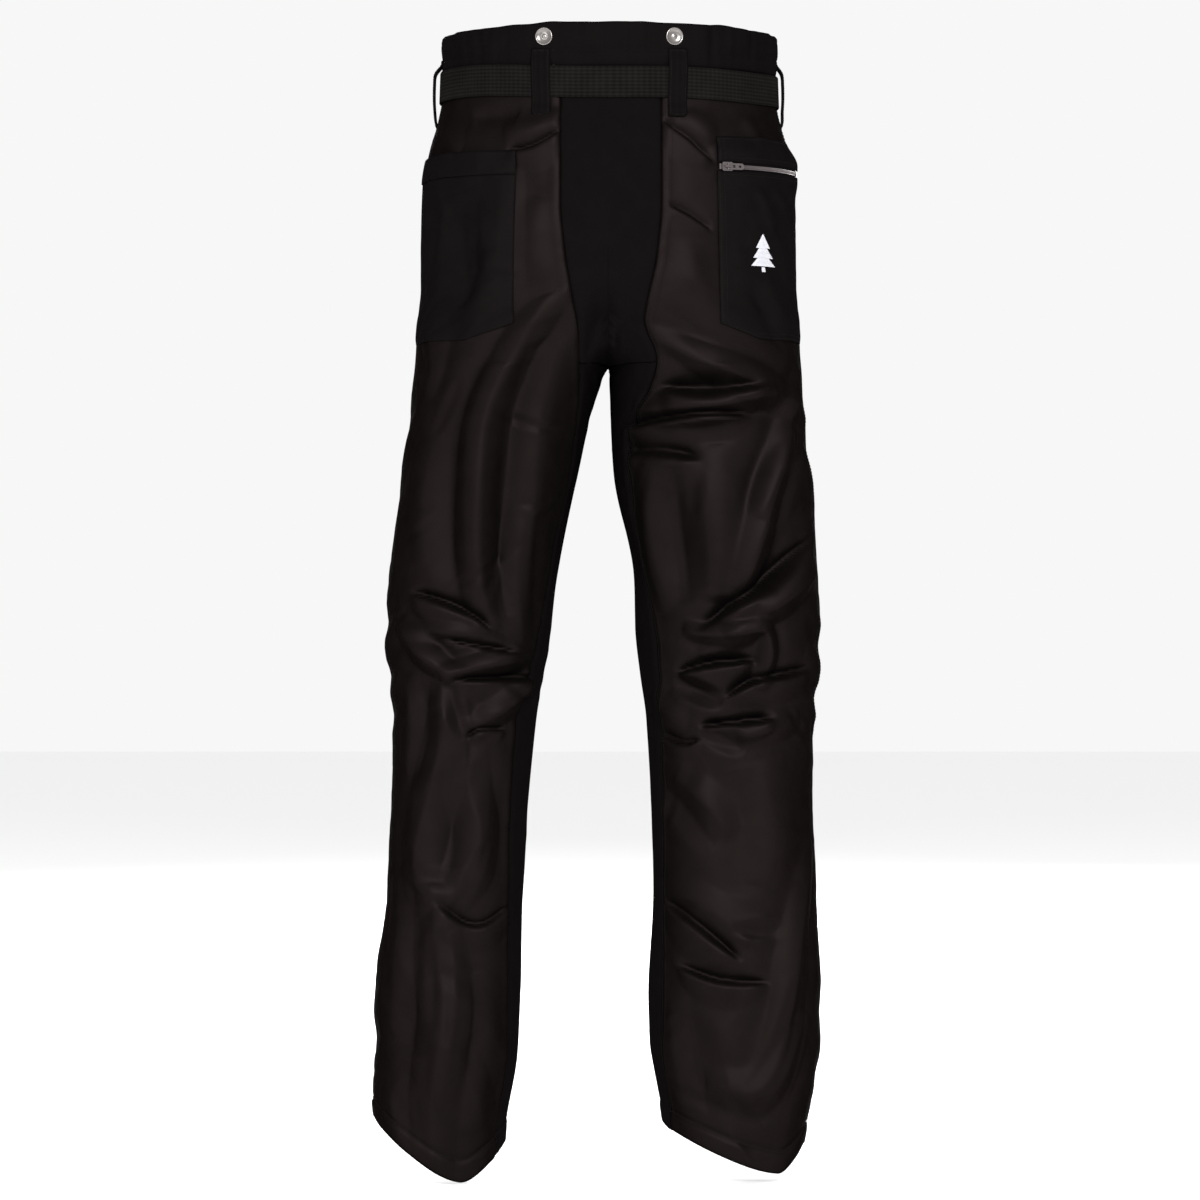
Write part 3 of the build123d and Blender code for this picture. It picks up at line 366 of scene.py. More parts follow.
def curve_points(points, per_span=5):
    """A Catmull-Rom curve through a stroke's points."""
    p = np.array(points, float)
    p = np.concatenate([[2 * p[0] - p[1]], p, [2 * p[-1] - p[-2]]])
    out = []
    for i in range(1, len(p) - 2):
        for t in np.arange(per_span) / per_span:
            a, b, c, d = p[i - 1:i + 3]
            out.append(0.5 * (2 * b + (c - a) * t + (2 * a - 5 * b + 4 * c - d) * t ** 2
                              + (3 * b - a - 3 * c + d) * t ** 3))
    out.append(p[-2])
    return np.array(out)


def place_strokes():
    """Each side's strokes as (kind, height, width, points), each point an arc position and a z."""
    placed = {LEFT: [], RIGHT: []}
    for side in (LEFT, RIGHT):
        def place(kind, height, width, points, angle):
            arcs, girths = arc_of(side, angle, points[:, 1])
            turns = np.cumsum(np.round(np.diff(arcs) / girths[1:]))
            arcs[1:] -= turns * girths[1:]
            placed[side].append((kind, height, width, np.stack([arcs, points[:, 1]], -1)))

        for kind, height, width, points in BACK_FOLDS[side]:
            points = curve_points(points)
            place(kind, height, width, points, angle_of(side, points[:, 0], points[:, 1], BACK))
        uneven = random.Random(31 + side)  # shared strokes differ a little between the legs
        for kind, height, width, points in FRONT_FOLDS:
            shift, tilt = uneven.uniform(-13, 13), uneven.uniform(-0.16, 0.16)
            height *= uneven.uniform(0.5, 1.15)
            points = curve_points([(side * (x + uneven.uniform(-8, 8)), z + shift + tilt * (x - 120)
                                    + uneven.uniform(-5, 5)) for x, z in points])
            place(kind, height, width, points, angle_of(side, points[:, 0], points[:, 1], FRONT))
        for kind, height, width, points in SIDE_FOLDS:
            points = curve_points([(y, z - side * 11) for y, z in points])
            height *= 0.7
            _, _, b, cy = section(side, points[:, 1])
            lean = np.arcsin(np.clip((points[:, 0] - cy) / b, -0.95, 0.95))
            place(kind, height, width, points, lean if side == RIGHT else math.pi - lean)
        for _ in range(SMALL_CREASES):
            z = random.uniform(-985, -70)
            arc = random.uniform(-260, 260)
            lean = random.gauss(0, 0.5) + (0 if random.random() < 0.7 else 1.2)
            reach = random.uniform(14, 42)
            line = [(arc + t * reach * math.cos(lean), z + t * reach * math.sin(lean) + 4 * t * t)
                    for t in (-1, -0.3, 0.4, 1)]
            kind = random.choice(["valley", "ridge", "valley"])
            placed[side].append((kind, random.uniform(0.6, 1.7), random.uniform(3, 6), curve_points(line)))
    return placed


STROKES = place_strokes()


def profile(kind, d, above):
    """A fold's cross-section, for a distance counted in widths. Flanks are straight, as on crisp nylon."""
    if kind == "soft":
        return np.exp(-d * d)
    near = np.sqrt(d * d + 0.01)
    if kind == "tuck":  # dives in above the crease, steps out to a sharp edge below it, and slopes away
        upper = -np.exp(-near / 0.75)
        step = np.minimum(d / 0.55, 1) * np.maximum(0, 1 - np.maximum(0, d - 0.55) / 3.2)
        lower = 0.55 * step - np.exp(-near / 0.28)
        blend = smooth(above / 0.4 + 0.5)
        return upper * blend + lower * (1 - blend)
    tent = np.maximum(0, 1.05 - near / 1.75)
    flank = np.exp(-((d - 2.1) / 0.9) ** 2)
    return tent - 0.2 * flank if kind == "ridge" else 0.25 * flank - tent


def fold_height(side, arc, girth, z):
    """How far the folds lift the cloth at each point."""
    total = np.zeros(arc.shape)
    for kind, height, width, points in STROKES[side]:
        reach = (TUCK_REACH if kind == "tuck" else FOLD_REACH) * width
        near = (z < points[:, 1].max() + reach) & (z > points[:, 1].min() - reach)
        middle = points[:, 0].mean()
        away = (arc - middle + girth / 2) % girth - girth / 2
        near &= np.abs(away) < np.ptp(points[:, 0]) + reach
        if not near.any():
            continue
        u, v = away[near] + middle, z[near]
        best = np.full(u.shape, 1e9)
        along = np.zeros(u.shape)
        above = np.zeros(u.shape)
        spans = np.linalg.norm(np.diff(points, axis=0), axis=1)
        total_length = spans.sum()
        run = 0.0
        for i, span in enumerate(spans):
            d0 = points[i + 1] - points[i]
            t = np.clip(((u - points[i, 0]) * d0[0] + (v - points[i, 1]) * d0[1]) / span ** 2, 0, 1)
            distance = np.hypot(u - points[i, 0] - t * d0[0], v - points[i, 1] - t * d0[1])
            closer = distance < best
            best = np.where(closer, distance, best)
            along = np.where(closer, (run + t * span) / total_length, along)
            cross = (d0[0] * (v - points[i, 1]) - d0[1] * (u - points[i, 0])) / span
            above = np.where(closer, cross, above)
            run += span
        swell = np.sin(math.pi * np.clip(along, 0, 1))
        if kind == "tuck":
            taper = smooth(along / 0.2) * smooth((1 - along) / 0.2)
            wide = width * (0.32 + 0.58 * swell)
        else:  # long folds fade out slowly, and are slacker below the knee
            slack = smooth((KNEE_Z - 30 - points[:, 1].mean()) / 60)
            taper = swell ** 0.6 * (1 - 0.25 * slack)
            wide = width * (0.75 + 0.3 * swell) * (1 + 0.2 * slack)
        total[near] += height * taper * profile(kind, best / wide, above / wide)
    return total


def smooth_seat(side, angle, here):
    """Eases the step between seat and thigh on the back, by averaging depths above and below."""
    x, y, z = np.moveaxis(here, -1, 0)
    total, weight = np.zeros_like(x), np.zeros_like(x)
    for shift in (-36, -24, -12, 0, 12, 24, 36):
        cx, a, b, cy = section(side, z + shift)
        u = np.abs((x - cx) / a)
        share = np.clip(1 - u ** SQUARENESS, 0, 1) ** (1 / SQUARENESS)
        w = smooth((0.97 - u) / 0.12) + (1e-6 if shift == 0 else 0)
        total += w * (cy - b * share)
        weight += w
    cx, a, _, _ = section(side, z)
    inside = smooth((0.95 - np.abs((x - cx) / a)) / 0.25) * (np.sin(angle) < 0)
    zone = smooth((z + 380) / 60) * smooth((-130 - z) / 50) * inside
    eased = here.copy()
    eased[..., 1] = y + (total / weight - y) * zone
    return eased


def noise(u, v, seed):
    """Smooth value noise between -1 and 1, one cell to a unit."""
    size = 64
    grid = np.random.default_rng(seed).uniform(-1, 1, (size, size))
    i, j = np.floor(u).astype(int), np.floor(v).astype(int)
    fu, fv = smooth(u - i), smooth(v - j)
    i0, i1, j0, j1 = i % size, (i + 1) % size, j % size, (j + 1) % size
    top = grid[i0, j0] * (1 - fu) + grid[i1, j0] * fu
    low = grid[i0, j1] * (1 - fu) + grid[i1, j1] * fu
    return top * (1 - fv) + low * fv


def ripples(side, arc, z):
    """Small uneven waves that all hanging cloth has, stronger at the knees and hems."""
    seed = 20 + side
    bend = bump_at(z, KNEE_Z, 90) + 0.8 * bump_at(z, ANKLE_Z, 70)
    slant_a = noise((arc + 0.5 * z) / 34, (z - 0.6 * arc) / 70, seed)
    slant_b = noise((arc - 0.7 * z) / 26, (z + 0.5 * arc) / 58, seed + 5)
    broad = noise(arc / 75, z / 120, seed + 9)
    fine = noise(arc / 11, z / 17, seed + 12)
    return 0.6 * broad + (slant_a + slant_b) * (0.18 + 0.26 * bend) + 0.10 * fine


UP = np.array([0, 0, 1.0])


def waist_frame(degrees, z):
    """A place round the waist, and the directions along the waist and outwards there."""
    angle = math.radians(degrees)
    origin = base_point(RIGHT, np.array([angle]), np.array([z]))[0]
    ahead = base_point(RIGHT, np.array([angle + NUDGE]), np.array([z]))[0]
    along = (ahead - origin) / np.linalg.norm(ahead - origin)
    return origin, along, np.cross(along, UP)


BUTTON_Z = 43.0
BUTTONS = {  # degrees round the waist
    "back_brace_button_caps": (249.2, 290.8),
    "front_brace_button_caps": (50, 68, 112, 130),
    "waist_button_caps": (94.5,),
}
BUTTON_PLACES = [waist_frame(degrees, BUTTON_Z)[0] for places in BUTTONS.values() for degrees in places]


def held_flat(x, y, z):
    """1 over most of the cloth, falling to 0 where a button's tack holds it flat."""
    share = np.ones(np.shape(z))
    for place in BUTTON_PLACES:
        away = (x - place[0]) ** 2 + (y - place[1]) ** 2 + (z - place[2]) ** 2
        share *= 1 - np.exp(-(away / 190) ** 2)
    return share


def gathers(x, y, z):
    """Upright pleats where the elastic draws in the waist, fading below the casing."""
    run = np.arctan2(y, x) * TURN_RADIUS
    side_pull = 0.35 + 0.65 * smooth((np.abs(x) - 60) / 60)
    front = smooth((y - 20) / 60)
    strength = side_pull * (1 - 0.75 * front)
    wave = (noise(run / 6.5, 0 * run + 3.3, 51) + 0.7 * noise(run / 13, 0 * run + 8.1, 52)
            + 0.5 * noise(run / 9, z / 16, 53))
    fade = np.where(z > CASING_Z, 1.0, np.exp((z - CASING_Z) / 20))
    return 1.7 * strength * wave * fade * held_flat(x, y, z)


def seam_relief(side, arc, z):
    """The groove along each seam, with the puckers that stitching pulls up beside it."""
    front_x = np.where(z < CROTCH_Z - 6, seam_x(side, z), side * fly_gap(z))
    seams = (angle_of(side, seam_x(side, z), z, BACK), angle_of(side, front_x, z, FRONT),
             np.full_like(z, OUTER[side]))
    relief = np.zeros_like(arc)
    for index, seam in enumerate(seams):
        seam_arc, girth = arc_of(side, seam, z)
        d = (arc - seam_arc + girth / 2) % girth - girth / 2
        groove = -1.3 * bump_at(d, 0, 2.0) + 0.55 * bump_at(np.abs(d), 6, 4)
        pucker = noise(z / 7.5, d / 20 + 5 * index, 70 + index + side) * np.exp(-np.abs(d) / 9)
        relief += groove + 0.55 * pucker
    return relief


def toward_zip(points, lift):
    """Draws the pocket cloth onto the round track of its zip, near the zip only."""
    x, y, z = np.moveaxis(points, -1, 0)
    away = np.hypot(x - ZIP_AXIS.x, y - ZIP_AXIS.y)
    pull = smooth(1 - (np.abs(z - ZIP_Z) - 8) / 22) * smooth((x - 80) / 22) * (y < 30)
    target = ZIP_RADIUS + lift
    factor = 1 + pull * (target / away - 1)
    moved = points.copy()
    moved[..., 0] = ZIP_AXIS.x + (x - ZIP_AXIS.x) * factor
    moved[..., 1] = ZIP_AXIS.y + (y - ZIP_AXIS.y) * factor
    return moved


def hem_slope(side, points):
    """How far the hem lies above its mean height: it falls to a blunt point on the back."""
    _, slope_x, slope_y, peak = HEM[side]
    x, y, z = np.moveaxis(points, -1, 0)
    cx, a, b, cy = section(side, z)
    across = np.clip((x - cx) / a, -1, 1)
    away = np.where(across < peak, (peak - across) / (1 + peak), (across - peak) / (1 - peak))
    drop = 1 - (np.sqrt(away ** 2 + 0.12) - 0.346) / 0.712
    depth = np.where(y < cy, cy - b * drop * smooth((cy - y) / (0.5 * b)) ** 0.3, y)
    return slope_x * (x - HEM_CENTRE_X[side]) + slope_y * depth


def surface(side, angle, z, out=0.0, seams=True):
    """Points on the finished cloth, in millimetres, with out added along the base form's normal."""
    angle, z = np.broadcast_arrays(np.asarray(angle, float), np.asarray(z, float))
    z = z.astype(float)
    here = base_point(side, angle, z)
    along = base_point(side, angle + NUDGE, z) - base_point(side, angle - NUDGE, z)
    down = base_point(side, angle, z - 1.0) - base_point(side, angle, z + 1.0)
    normal = np.cross(down, along)
    normal /= np.linalg.norm(normal, axis=-1, keepdims=True) + 1e-9
    here = smooth_seat(side, angle, here)
    arc, girth = arc_of(side, angle, z)
    turned_away = 0.3 + 0.7 * np.abs(normal[..., 1])
    lift = FOLD_SCALE * fold_height(side, arc, girth, z) * turned_away + ripples(side, arc, z)
    if side == RIGHT:  # no folds at the pocket zip
        lift *= 1 - bump_at(z, ZIP_Z, 16) * smooth((here[..., 0] - 88) / 14) * (here[..., 1] < 0)
    x = here[..., 0]
    off_centre = np.where(z > CROTCH_Z - 10, smooth(np.abs(x) / 22), 1.0)
    below_belt = smooth((BELT_FOOT_Z - z) / 15)
    hem_calm = 1 - 0.6 * smooth((HEM_CALM_Z - z) / 40)
    lift = lift * off_centre * below_belt * hem_calm
    lift += gathers(x, here[..., 1], z) * smooth(np.abs(x) / 30)
    if seams:
        lift += seam_relief(side, arc, z)
    points = here + normal * (lift + out)[..., None]
    points[..., 2] += hem_slope(side, points) * smooth((HEM[side][0] + HEM_SPREAD - z) / HEM_SPREAD)
    return points


# ---- meshes ------------------------------------------------------------------------------------

def add_object(name, data):
    obj = bpy.data.objects.new(name, data)
    bpy.context.scene.collection.objects.link(obj)
    return obj


def new_object(name, verts, faces):
    """A smooth mesh object from points in metres."""
    name = f"{name}_look"
    mesh = bpy.data.meshes.new(name)
    mesh.from_pydata([tuple(v) for v in np.asarray(verts, float).tolist()], [], faces)
    mesh.update()
    obj = add_object(name, mesh)
    mesh.polygons.foreach_set("use_smooth", np.ones(len(mesh.polygons), bool))
    return obj


def grid_faces(rows, cols):
    faces = []
    for i in range(rows - 1):
        base, below = i * cols, (i + 1) * cols
        for j in range(cols - 1):
            faces.append((base + j, below + j, below + j + 1, base + j + 1))
    return faces


def weave_attribute(obj, along, up):
    """Cloth coordinates for the weave. A single row or column is spread over the whole grid."""
    along, up = np.broadcast_arrays(along, up)
    data = np.zeros((len(obj.data.vertices), 3), np.float32)
    data[:, 0] = np.ravel(along) * MM
    data[:, 1] = np.ravel(up) * MM
    attribute = obj.data.attributes.new("weave", "FLOAT_VECTOR", "POINT")
    attribute.data.foreach_set("vector", data.ravel())


def thicken(obj, thick):
    """Thickness in millimetres, added on the inner face."""
    solid = obj.modifiers.new("thickness", "SOLIDIFY")
    solid.thickness = thick * MM
    solid.offset = -1


def cloth_grid(name, points, along, up, thick=CLOTH):
    """A sheet of cloth through a grid of points in millimetres."""
    rows, cols = points.shape[:2]
    obj = new_object(name, points.reshape(-1, 3) * MM, grid_faces(rows, cols))
    weave_attribute(obj, along, up)
    thicken(obj, thick)
    return obj


def finish_piece(obj, material, replaces=()):
    """Gives a piece its material, the trousers' body, and the nodes it stands for."""
    obj.data.materials.append(material)
    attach(obj, "trousers")
    if replaces:
        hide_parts(*replaces)
    return obj


def cloth(name, points, along, up, thick, material):
    """A finished sheet that stands for the node of its own name."""
    return finish_piece(cloth_grid(name, points, along, up, thick), material, (name,))


def leg_cloth(name, side, angles, heights, thick, material, slot, out=0.0, seams=True):
    """A finished sheet on one leg's surface, at the distance out from it."""
    points = surface(side, angles, heights, out=out, seams=seams)
    arc, _ = arc_of(side, angles, heights)
    return cloth(name, points, arc, heights, thick, material)


def fan(begin, end, zs, cols):
    """Angles and heights of a grid whose rows run between two angles each."""
    zs = np.asarray(zs, float)
    t = np.linspace(0, 1, cols)
    begin, end = np.broadcast_to(begin, zs.shape), np.broadcast_to(end, zs.shape)
    angles = begin[:, None] + (end - begin)[:, None] * t[None, :]
    return angles, np.repeat(zs[:, None], cols, 1)


def ring_of(centre, u, v, count):
    """Points round a centre, with u and v as the ring's half widths."""
    turns = np.arange(count) * 2 * math.pi / count
    return centre + np.cos(turns)[:, None] * u + np.sin(turns)[:, None] * v


def tube_piece(name, tubes, material, replaces=()):
    """One piece made of closed tubes, each a list of rings of points in millimetres."""
    verts, faces = [], []
    for rings in tubes:
        base, count = len(verts), len(rings[0])
        for ring in rings:
            verts.extend(ring)
        for i in range(len(rings) - 1):
            a, b = base + i * count, base + (i + 1) * count
            for k in range(count):
                q = (k + 1) % count
                faces.append((a + k, b + k, b + q, a + q))
        faces.append(tuple(base + k for k in range(count)))
        faces.append(tuple(len(verts) - 1 - k for k in range(count)))
    points = np.array(verts)
    obj = new_object(name, points * MM, faces)
    weave_attribute(obj, points[:, 0], points[:, 2])
    return finish_piece(obj, material, replaces)


# ---- materials ---------------------------------------------------------------------------------

def nodes_of(name):
    material = bpy.data.materials.new(name)
    material.use_nodes = True
    tree = material.node_tree
    return material, tree, tree.nodes["Principled BSDF"]


def add(tree, kind, **settings):
    node = tree.nodes.new(kind)
    for key, value in settings.items():
        if key in node.inputs:
            node.inputs[key].default_value = value
        else:
            setattr(node, key, value)
    return node


def wave(tree, source, direction, pitch):
    """Fine bands of one pitch, in metres."""
    node = add(tree, "ShaderNodeTexWave", wave_type="BANDS", bands_direction=direction, wave_profile="SIN")
    node.inputs["Scale"].default_value = 2 * math.pi / 20 / pitch
    tree.links.new(source, node.inputs["Vector"])
    return node.outputs["Fac"]


def math_node(tree, operation, a, b):
    node = add(tree, "ShaderNodeMath", operation=operation)
    for index, value in enumerate((a, b)):
        if isinstance(value, (int, float)):
            node.inputs[index].default_value = value
        else:
            tree.links.new(value, node.inputs[index])
    return node.outputs[0]


def weighted(tree, a, share_a, b, share_b):
    """The sum of two values, each times its own share."""
    return math_node(tree, "ADD", math_node(tree, "MULTIPLY", a, share_a),
                     math_node(tree, "MULTIPLY", b, share_b))


def noise_node(tree, source, **settings):
    node = add(tree, "ShaderNodeTexNoise", **settings)
    tree.links.new(source, node.inputs["Vector"])
    return node.outputs["Fac"]


def tint(tree, shader, factor, dark, light):
    """Base colour between two, by a factor."""
    mix = add(tree, "ShaderNodeMix", data_type="RGBA")
    factor_socket, dark_socket, light_socket = mix.inputs[0], mix.inputs[6], mix.inputs[7]
    dark_socket.default_value = (*dark, 1)
    light_socket.default_value = (*light, 1)
    tree.links.new(factor, factor_socket)
    tree.links.new(mix.outputs[2], shader.inputs["Base Color"])


def roughen(tree, shader, value, low, high, **settings):
    """Roughness between two values."""
    span = add(tree, "ShaderNodeMapRange", **settings)
    span.inputs["To Min"].default_value = low
    span.inputs["To Max"].default_value = high
    tree.links.new(value, span.inputs["Value"])
    tree.links.new(span.outputs["Result"], shader.inputs["Roughness"])


def emboss(tree, shader, height, strength, distance):
    node = add(tree, "ShaderNodeBump", Strength=strength, Distance=distance)
    tree.links.new(height, node.inputs["Height"])
    tree.links.new(node.outputs["Normal"], shader.inputs["Normal"])


def weave_relief(tree, source, weave, pitch):
    """Height of the threads, from waves along the cloth, up it and across the bias."""
    if weave == "twill":
        return weighted(tree, wave(tree, source, "DIAGONAL", pitch), 0.7,
                        wave(tree, source, "X", pitch * 0.62), 0.3)
    if weave == "ribbed":
        return weighted(tree, wave(tree, source, "Y", pitch), 0.65,
                        wave(tree, source, "X", pitch * 1.25), 0.35)
    if weave == "knit":
        return math_node(tree, "MAXIMUM", wave(tree, source, "X", pitch),
                         wave(tree, source, "DIAGONAL", pitch * 0.8))
    return math_node(tree, "MULTIPLY", wave(tree, source, "X", pitch), wave(tree, source, "Y", pitch))


def fabric(name, dark, light, rough, pitch, weave, bump, gloss):
    """Woven cloth: two-tone thread colour, weave relief, uneven gloss."""
    material, tree, shader = nodes_of(name)
    source = add(tree, "ShaderNodeAttribute", attribute_name="weave").outputs["Vector"]
    relief = weave_relief(tree, source, weave, pitch)
    cloud = noise_node(tree, source, Scale=45.0, Detail=5.0, Roughness=0.6)
    fuzz = noise_node(tree, source, Scale=900.0, Detail=2.0)
    tint(tree, shader, weighted(tree, relief, 0.45, cloud, 0.55), dark, light)
    limits = {"From Min": 0.3, "From Max": 0.7}
    roughen(tree, shader, cloud, rough - 0.05, rough + 0.05, **limits)
    height = math_node(tree, "ADD", relief, math_node(tree, "MULTIPLY", fuzz, 0.5))
    emboss(tree, shader, height, bump, 0.00025)
    shader.inputs["Metallic"].default_value = gloss
    shader.inputs["Specular IOR Level"].default_value = 0.0
    shader.inputs["Specular Tint"].default_value = (0.06, 0.05, 0.05, 1)
    return material


def metal(name, colour, rough, scratch=0.06, metallic=1.0):
    """Metal with fine uneven polish."""
    material, tree, shader = nodes_of(name)
    place = add(tree, "ShaderNodeTexCoord").outputs["Object"]
    marks = noise_node(tree, place, Scale=600.0, Detail=6.0, Roughness=0.7)
    roughen(tree, shader, marks, rough, rough + scratch * 2)
    tint(tree, shader, marks, [c * 0.8 for c in colour], colour)
    emboss(tree, shader, marks, 0.08, 0.0001)
    shader.inputs["Metallic"].default_value = metallic
    return material


# Each: name, dark and light thread colour, roughness, pitch in metres, weave, relief, metallic sheen.
SATIN = fabric("satin_nylon", (0.0058, 0.0045, 0.0045), (0.0134, 0.0098, 0.0097), 0.5, 0.00075,
               "twill", 0.3, 0.75)
STRETCH = fabric("stretch_knit", (0.0024, 0.0020, 0.0021), (0.0052, 0.0044, 0.0047), 0.85, 0.0010,
                 "knit", 0.6, 0.0)
# A darker copy of the stretch knit for the inner leg panels: painted shade where the legs hide each other.
SHADED_STRETCH = fabric("stretch_knit_painted_shade", (0.0022, 0.0018, 0.0019), (0.0047, 0.0039, 0.0041), 0.9, 0.0010,
               "knit", 0.6, 0.0)
POCKET = fabric("pocket_cloth", (0.0038, 0.0032, 0.0033), (0.0092, 0.0076, 0.0080), 0.55, 0.0006,
                "plain", 0.35, 0.45)
CASING = fabric("casing_cloth", (0.0030, 0.0025, 0.0026), (0.0070, 0.0058, 0.0061), 0.6, 0.0006,
                "plain", 0.35, 0.3)
WEBBING = fabric("ribbed_webbing", (0.0016, 0.0016, 0.0014), (0.0125, 0.0115, 0.0105), 0.7, 0.0034,
                 "ribbed", 1.0, 0.2)
LINING = fabric("lining_mesh", (0.008, 0.008, 0.009), (0.016, 0.016, 0.018), 0.6, 0.0012,
                "plain", 0.4, 0.2)
PAD = fabric("pad_fibre", (0.42, 0.40, 0.34), (0.62, 0.60, 0.52), 0.9, 0.002, "plain", 0.5, 0.0)
ELASTIC = fabric("elastic_rib", (0.005, 0.005, 0.005), (0.014, 0.014, 0.014), 0.8, 0.0014,
                 "ribbed", 0.6, 0.0)
TAPE = fabric("zip_tape", (0.005, 0.005, 0.005), (0.012, 0.011, 0.011), 0.7, 0.0008, "plain", 0.4, 0.1)
THREAD = fabric("thread", (0.009, 0.008, 0.008), (0.022, 0.019, 0.018), 0.5, 0.0004,
                "plain", 0.3, 0.4)
BADGE = fabric("badge_thread", (0.45, 0.45, 0.48), (0.72, 0.72, 0.76), 0.38, 0.0005,
               "plain", 0.3, 0.0)
COIL = metal("zip_coil", (0.085, 0.07, 0.07), 0.36, 0.05, metallic=0.3)
ZIP_METAL = metal("zip_metal", (0.15, 0.13, 0.13), 0.3)
BUTTON_METAL = metal("button_metal", (0.24, 0.225, 0.215), 0.2, 0.05)
BUCKLE_METAL = metal("buckle_metal", (0.24, 0.24, 0.25), 0.38)


# ---- stitches ----------------------------------------------------------------------------------

STITCH_SHAPE = [(0, 0.35), (0.18, 1), (0.82, 1), (1, 0.35)]  # place along the stitch, share of its radius


def dashes(name, lines, pitch=3.3, length=2.4, radius=0.23):
    """Rows of sewn thread: one rounded dash a stitch, along lines of points in millimetres."""
    stitches = []
    for line in lines:
        steps = np.linalg.norm(np.diff(line, axis=0), axis=1)
        run = np.concatenate([[0], np.cumsum(steps)])
        for start in np.arange(0, run[-1] - length, pitch):
            stations = start + np.array([place for place, _ in STITCH_SHAPE]) * length
            path = np.stack([np.interp(stations, run, line[:, k]) for k in range(3)], -1)
            axis = path[-1] - path[0]
            axis /= np.linalg.norm(axis) + 1e-9
            helper = UP if abs(axis[2]) < 0.8 else np.array([1.0, 0, 0])
            u = np.cross(axis, helper)
            u /= np.linalg.norm(u)
            v = np.cross(u, axis)
            stitches.append([ring_of(centre, radius * share * u, radius * share * v, 5)
                             for centre, (_, share) in zip(path, STITCH_SHAPE)])
    tube_piece(name, stitches, THREAD)


# ---- the legs and seat -------------------------------------------------------------------------

STEP = 2.3  # size of the cloth grids' cells


def z_rows(top, bottom, step=STEP):
    """Heights from top to bottom, about a step apart."""
    return np.linspace(top, bottom, int((top - bottom) / step) + 1)


def hem_z(side):
    return HEM[side][0]


def back_seam(side, zs):
    return angle_of(side, seam_x(side, zs), zs, BACK)


def front_seam(side, zs):
    """The fly's edge down to the crotch, then the inner panel's front seam."""
    share = smooth((CROTCH_Z - zs) / 21)
    x = side * fly_gap(zs) * (1 - share) + seam_x(side, zs) * share
    return angle_of(side, x, zs, FRONT)


def hem_turn(zs, side):
    """The doubled cloth of the hem stands out a little and rolls in at its lower edge."""
    above = zs - hem_z(side)
    stand = 1.2 * smooth((24 - above) / 5)
    roll = -1.6 * smooth((3 - above) / 3)
    groove = -2.6 * bump_at(above, HEM_STITCH, 2.4)
    return stand + roll + groove


def make_panels():
    """The back, front and inner panels of each leg."""
    for side in (LEFT, RIGHT):
        full = z_rows(PANEL_TOP_Z, hem_z(side))
        low = np.concatenate([[CROTCH_Z], full[full < CROTCH_Z]])
        wide, narrow = int(230 / STEP), int(130 / STEP)
        whole_turn = 2 * math.pi if side == RIGHT else 0.0
        grids = {"back": fan(back_seam(side, full), side * OUTER[side], full, wide),
                 "front": fan(front_seam(side, full), OUTER[side], full, wide),
                 "inner": fan(back_seam(side, low), front_seam(side, low) - whole_turn, low, narrow)}
        for part, (angles, heights) in grids.items():
            name = f"{SIDE_NAMES[side]}_{part}_leg_panel"
            # The inner panels take the darker copy of the stretch knit: painted shade between the legs.
            look = (SHADED_STRETCH, "stretch_fabric") if part == "inner" else (SATIN, "shell_fabric")
            piece = leg_cloth(name, side, angles, heights, CLOTH, *look, out=hem_turn(heights, side))


def make_seat():
    """The stretch panel down the seat, one cloth from seam to seam."""
    zs = np.concatenate([z_rows(PANEL_TOP_Z, -200), z_rows(-201.5, CROTCH_Z, 1.5)])
    half_cols = int(52 / STEP)
    left_a, left_z = fan(back_seam(LEFT, zs), angle_of(LEFT, 0, zs, BACK), zs, half_cols)
    right_a, right_z = fan(angle_of(RIGHT, 0, zs, BACK), back_seam(RIGHT, zs), zs, half_cols)
    left, right = surface(LEFT, left_a, left_z), surface(RIGHT, right_a, right_z)
    middle = (left[:, -1:] + right[:, :1]) / 2
    middle[..., 0] = 0
    points = np.concatenate([left[:, :-1], middle, right[:, 1:]], 1)
    x = points[..., 0]
    fold = 7 * bump_at(x, -8, 8) - 3 * bump_at(x, 9, 8) - 2 * bump_at(x, -26, 9)
    points[..., 1] += fold * smooth((-178 - points[..., 2]) / 45)
    left_arc, _ = arc_of(LEFT, left_a, left_z)
    right_arc, _ = arc_of(RIGHT, right_a, right_z)
    along = np.concatenate([left_arc[:, :-1], right_arc], 1)
    seat = cloth("seat_stretch_panel", points, along, zs[:, None], CLOTH, STRETCH)


def whole_leg(side, rows, cols):
    """A grid all round one leg, closed along its inner side."""
    start = OUTER[side] - math.pi + 0.004
    return fan(start, start + 2 * math.pi - 0.008, rows, cols)


# How far each inner layer lies out from the shell's outer face.
LINING_OUT, PAD_OUT, BAG_OUT, HEM_BAND_OUT = -14.0, -9.2, -4.6, -1.3


def make_lining(side, name):
    """The lining: open down the middle of the seat, and a closed tube down the leg."""
    rows = z_rows(26, CROTCH_Z, 8)
    back = angle_of(side, side * 4.2, rows, BACK, 12)
    front = angle_of(side, side * 4.2, rows, FRONT, 12)
    ends = (back, front) if side == RIGHT else (front, 2 * math.pi + back)
    upper_a, upper_z = fan(*ends, rows, 60)
    lower_a, lower_z = whole_leg(side, z_rows(CROTCH_Z, hem_z(side) + 8, 8)[1:], 60)
    angles = np.concatenate([upper_a, lower_a])
    heights = np.concatenate([upper_z, lower_z])
    lining = leg_cloth(f"{name}_leg_lining", side, angles, heights, 0.5, LINING, "lining_fabric",
                       LINING_OUT, False)


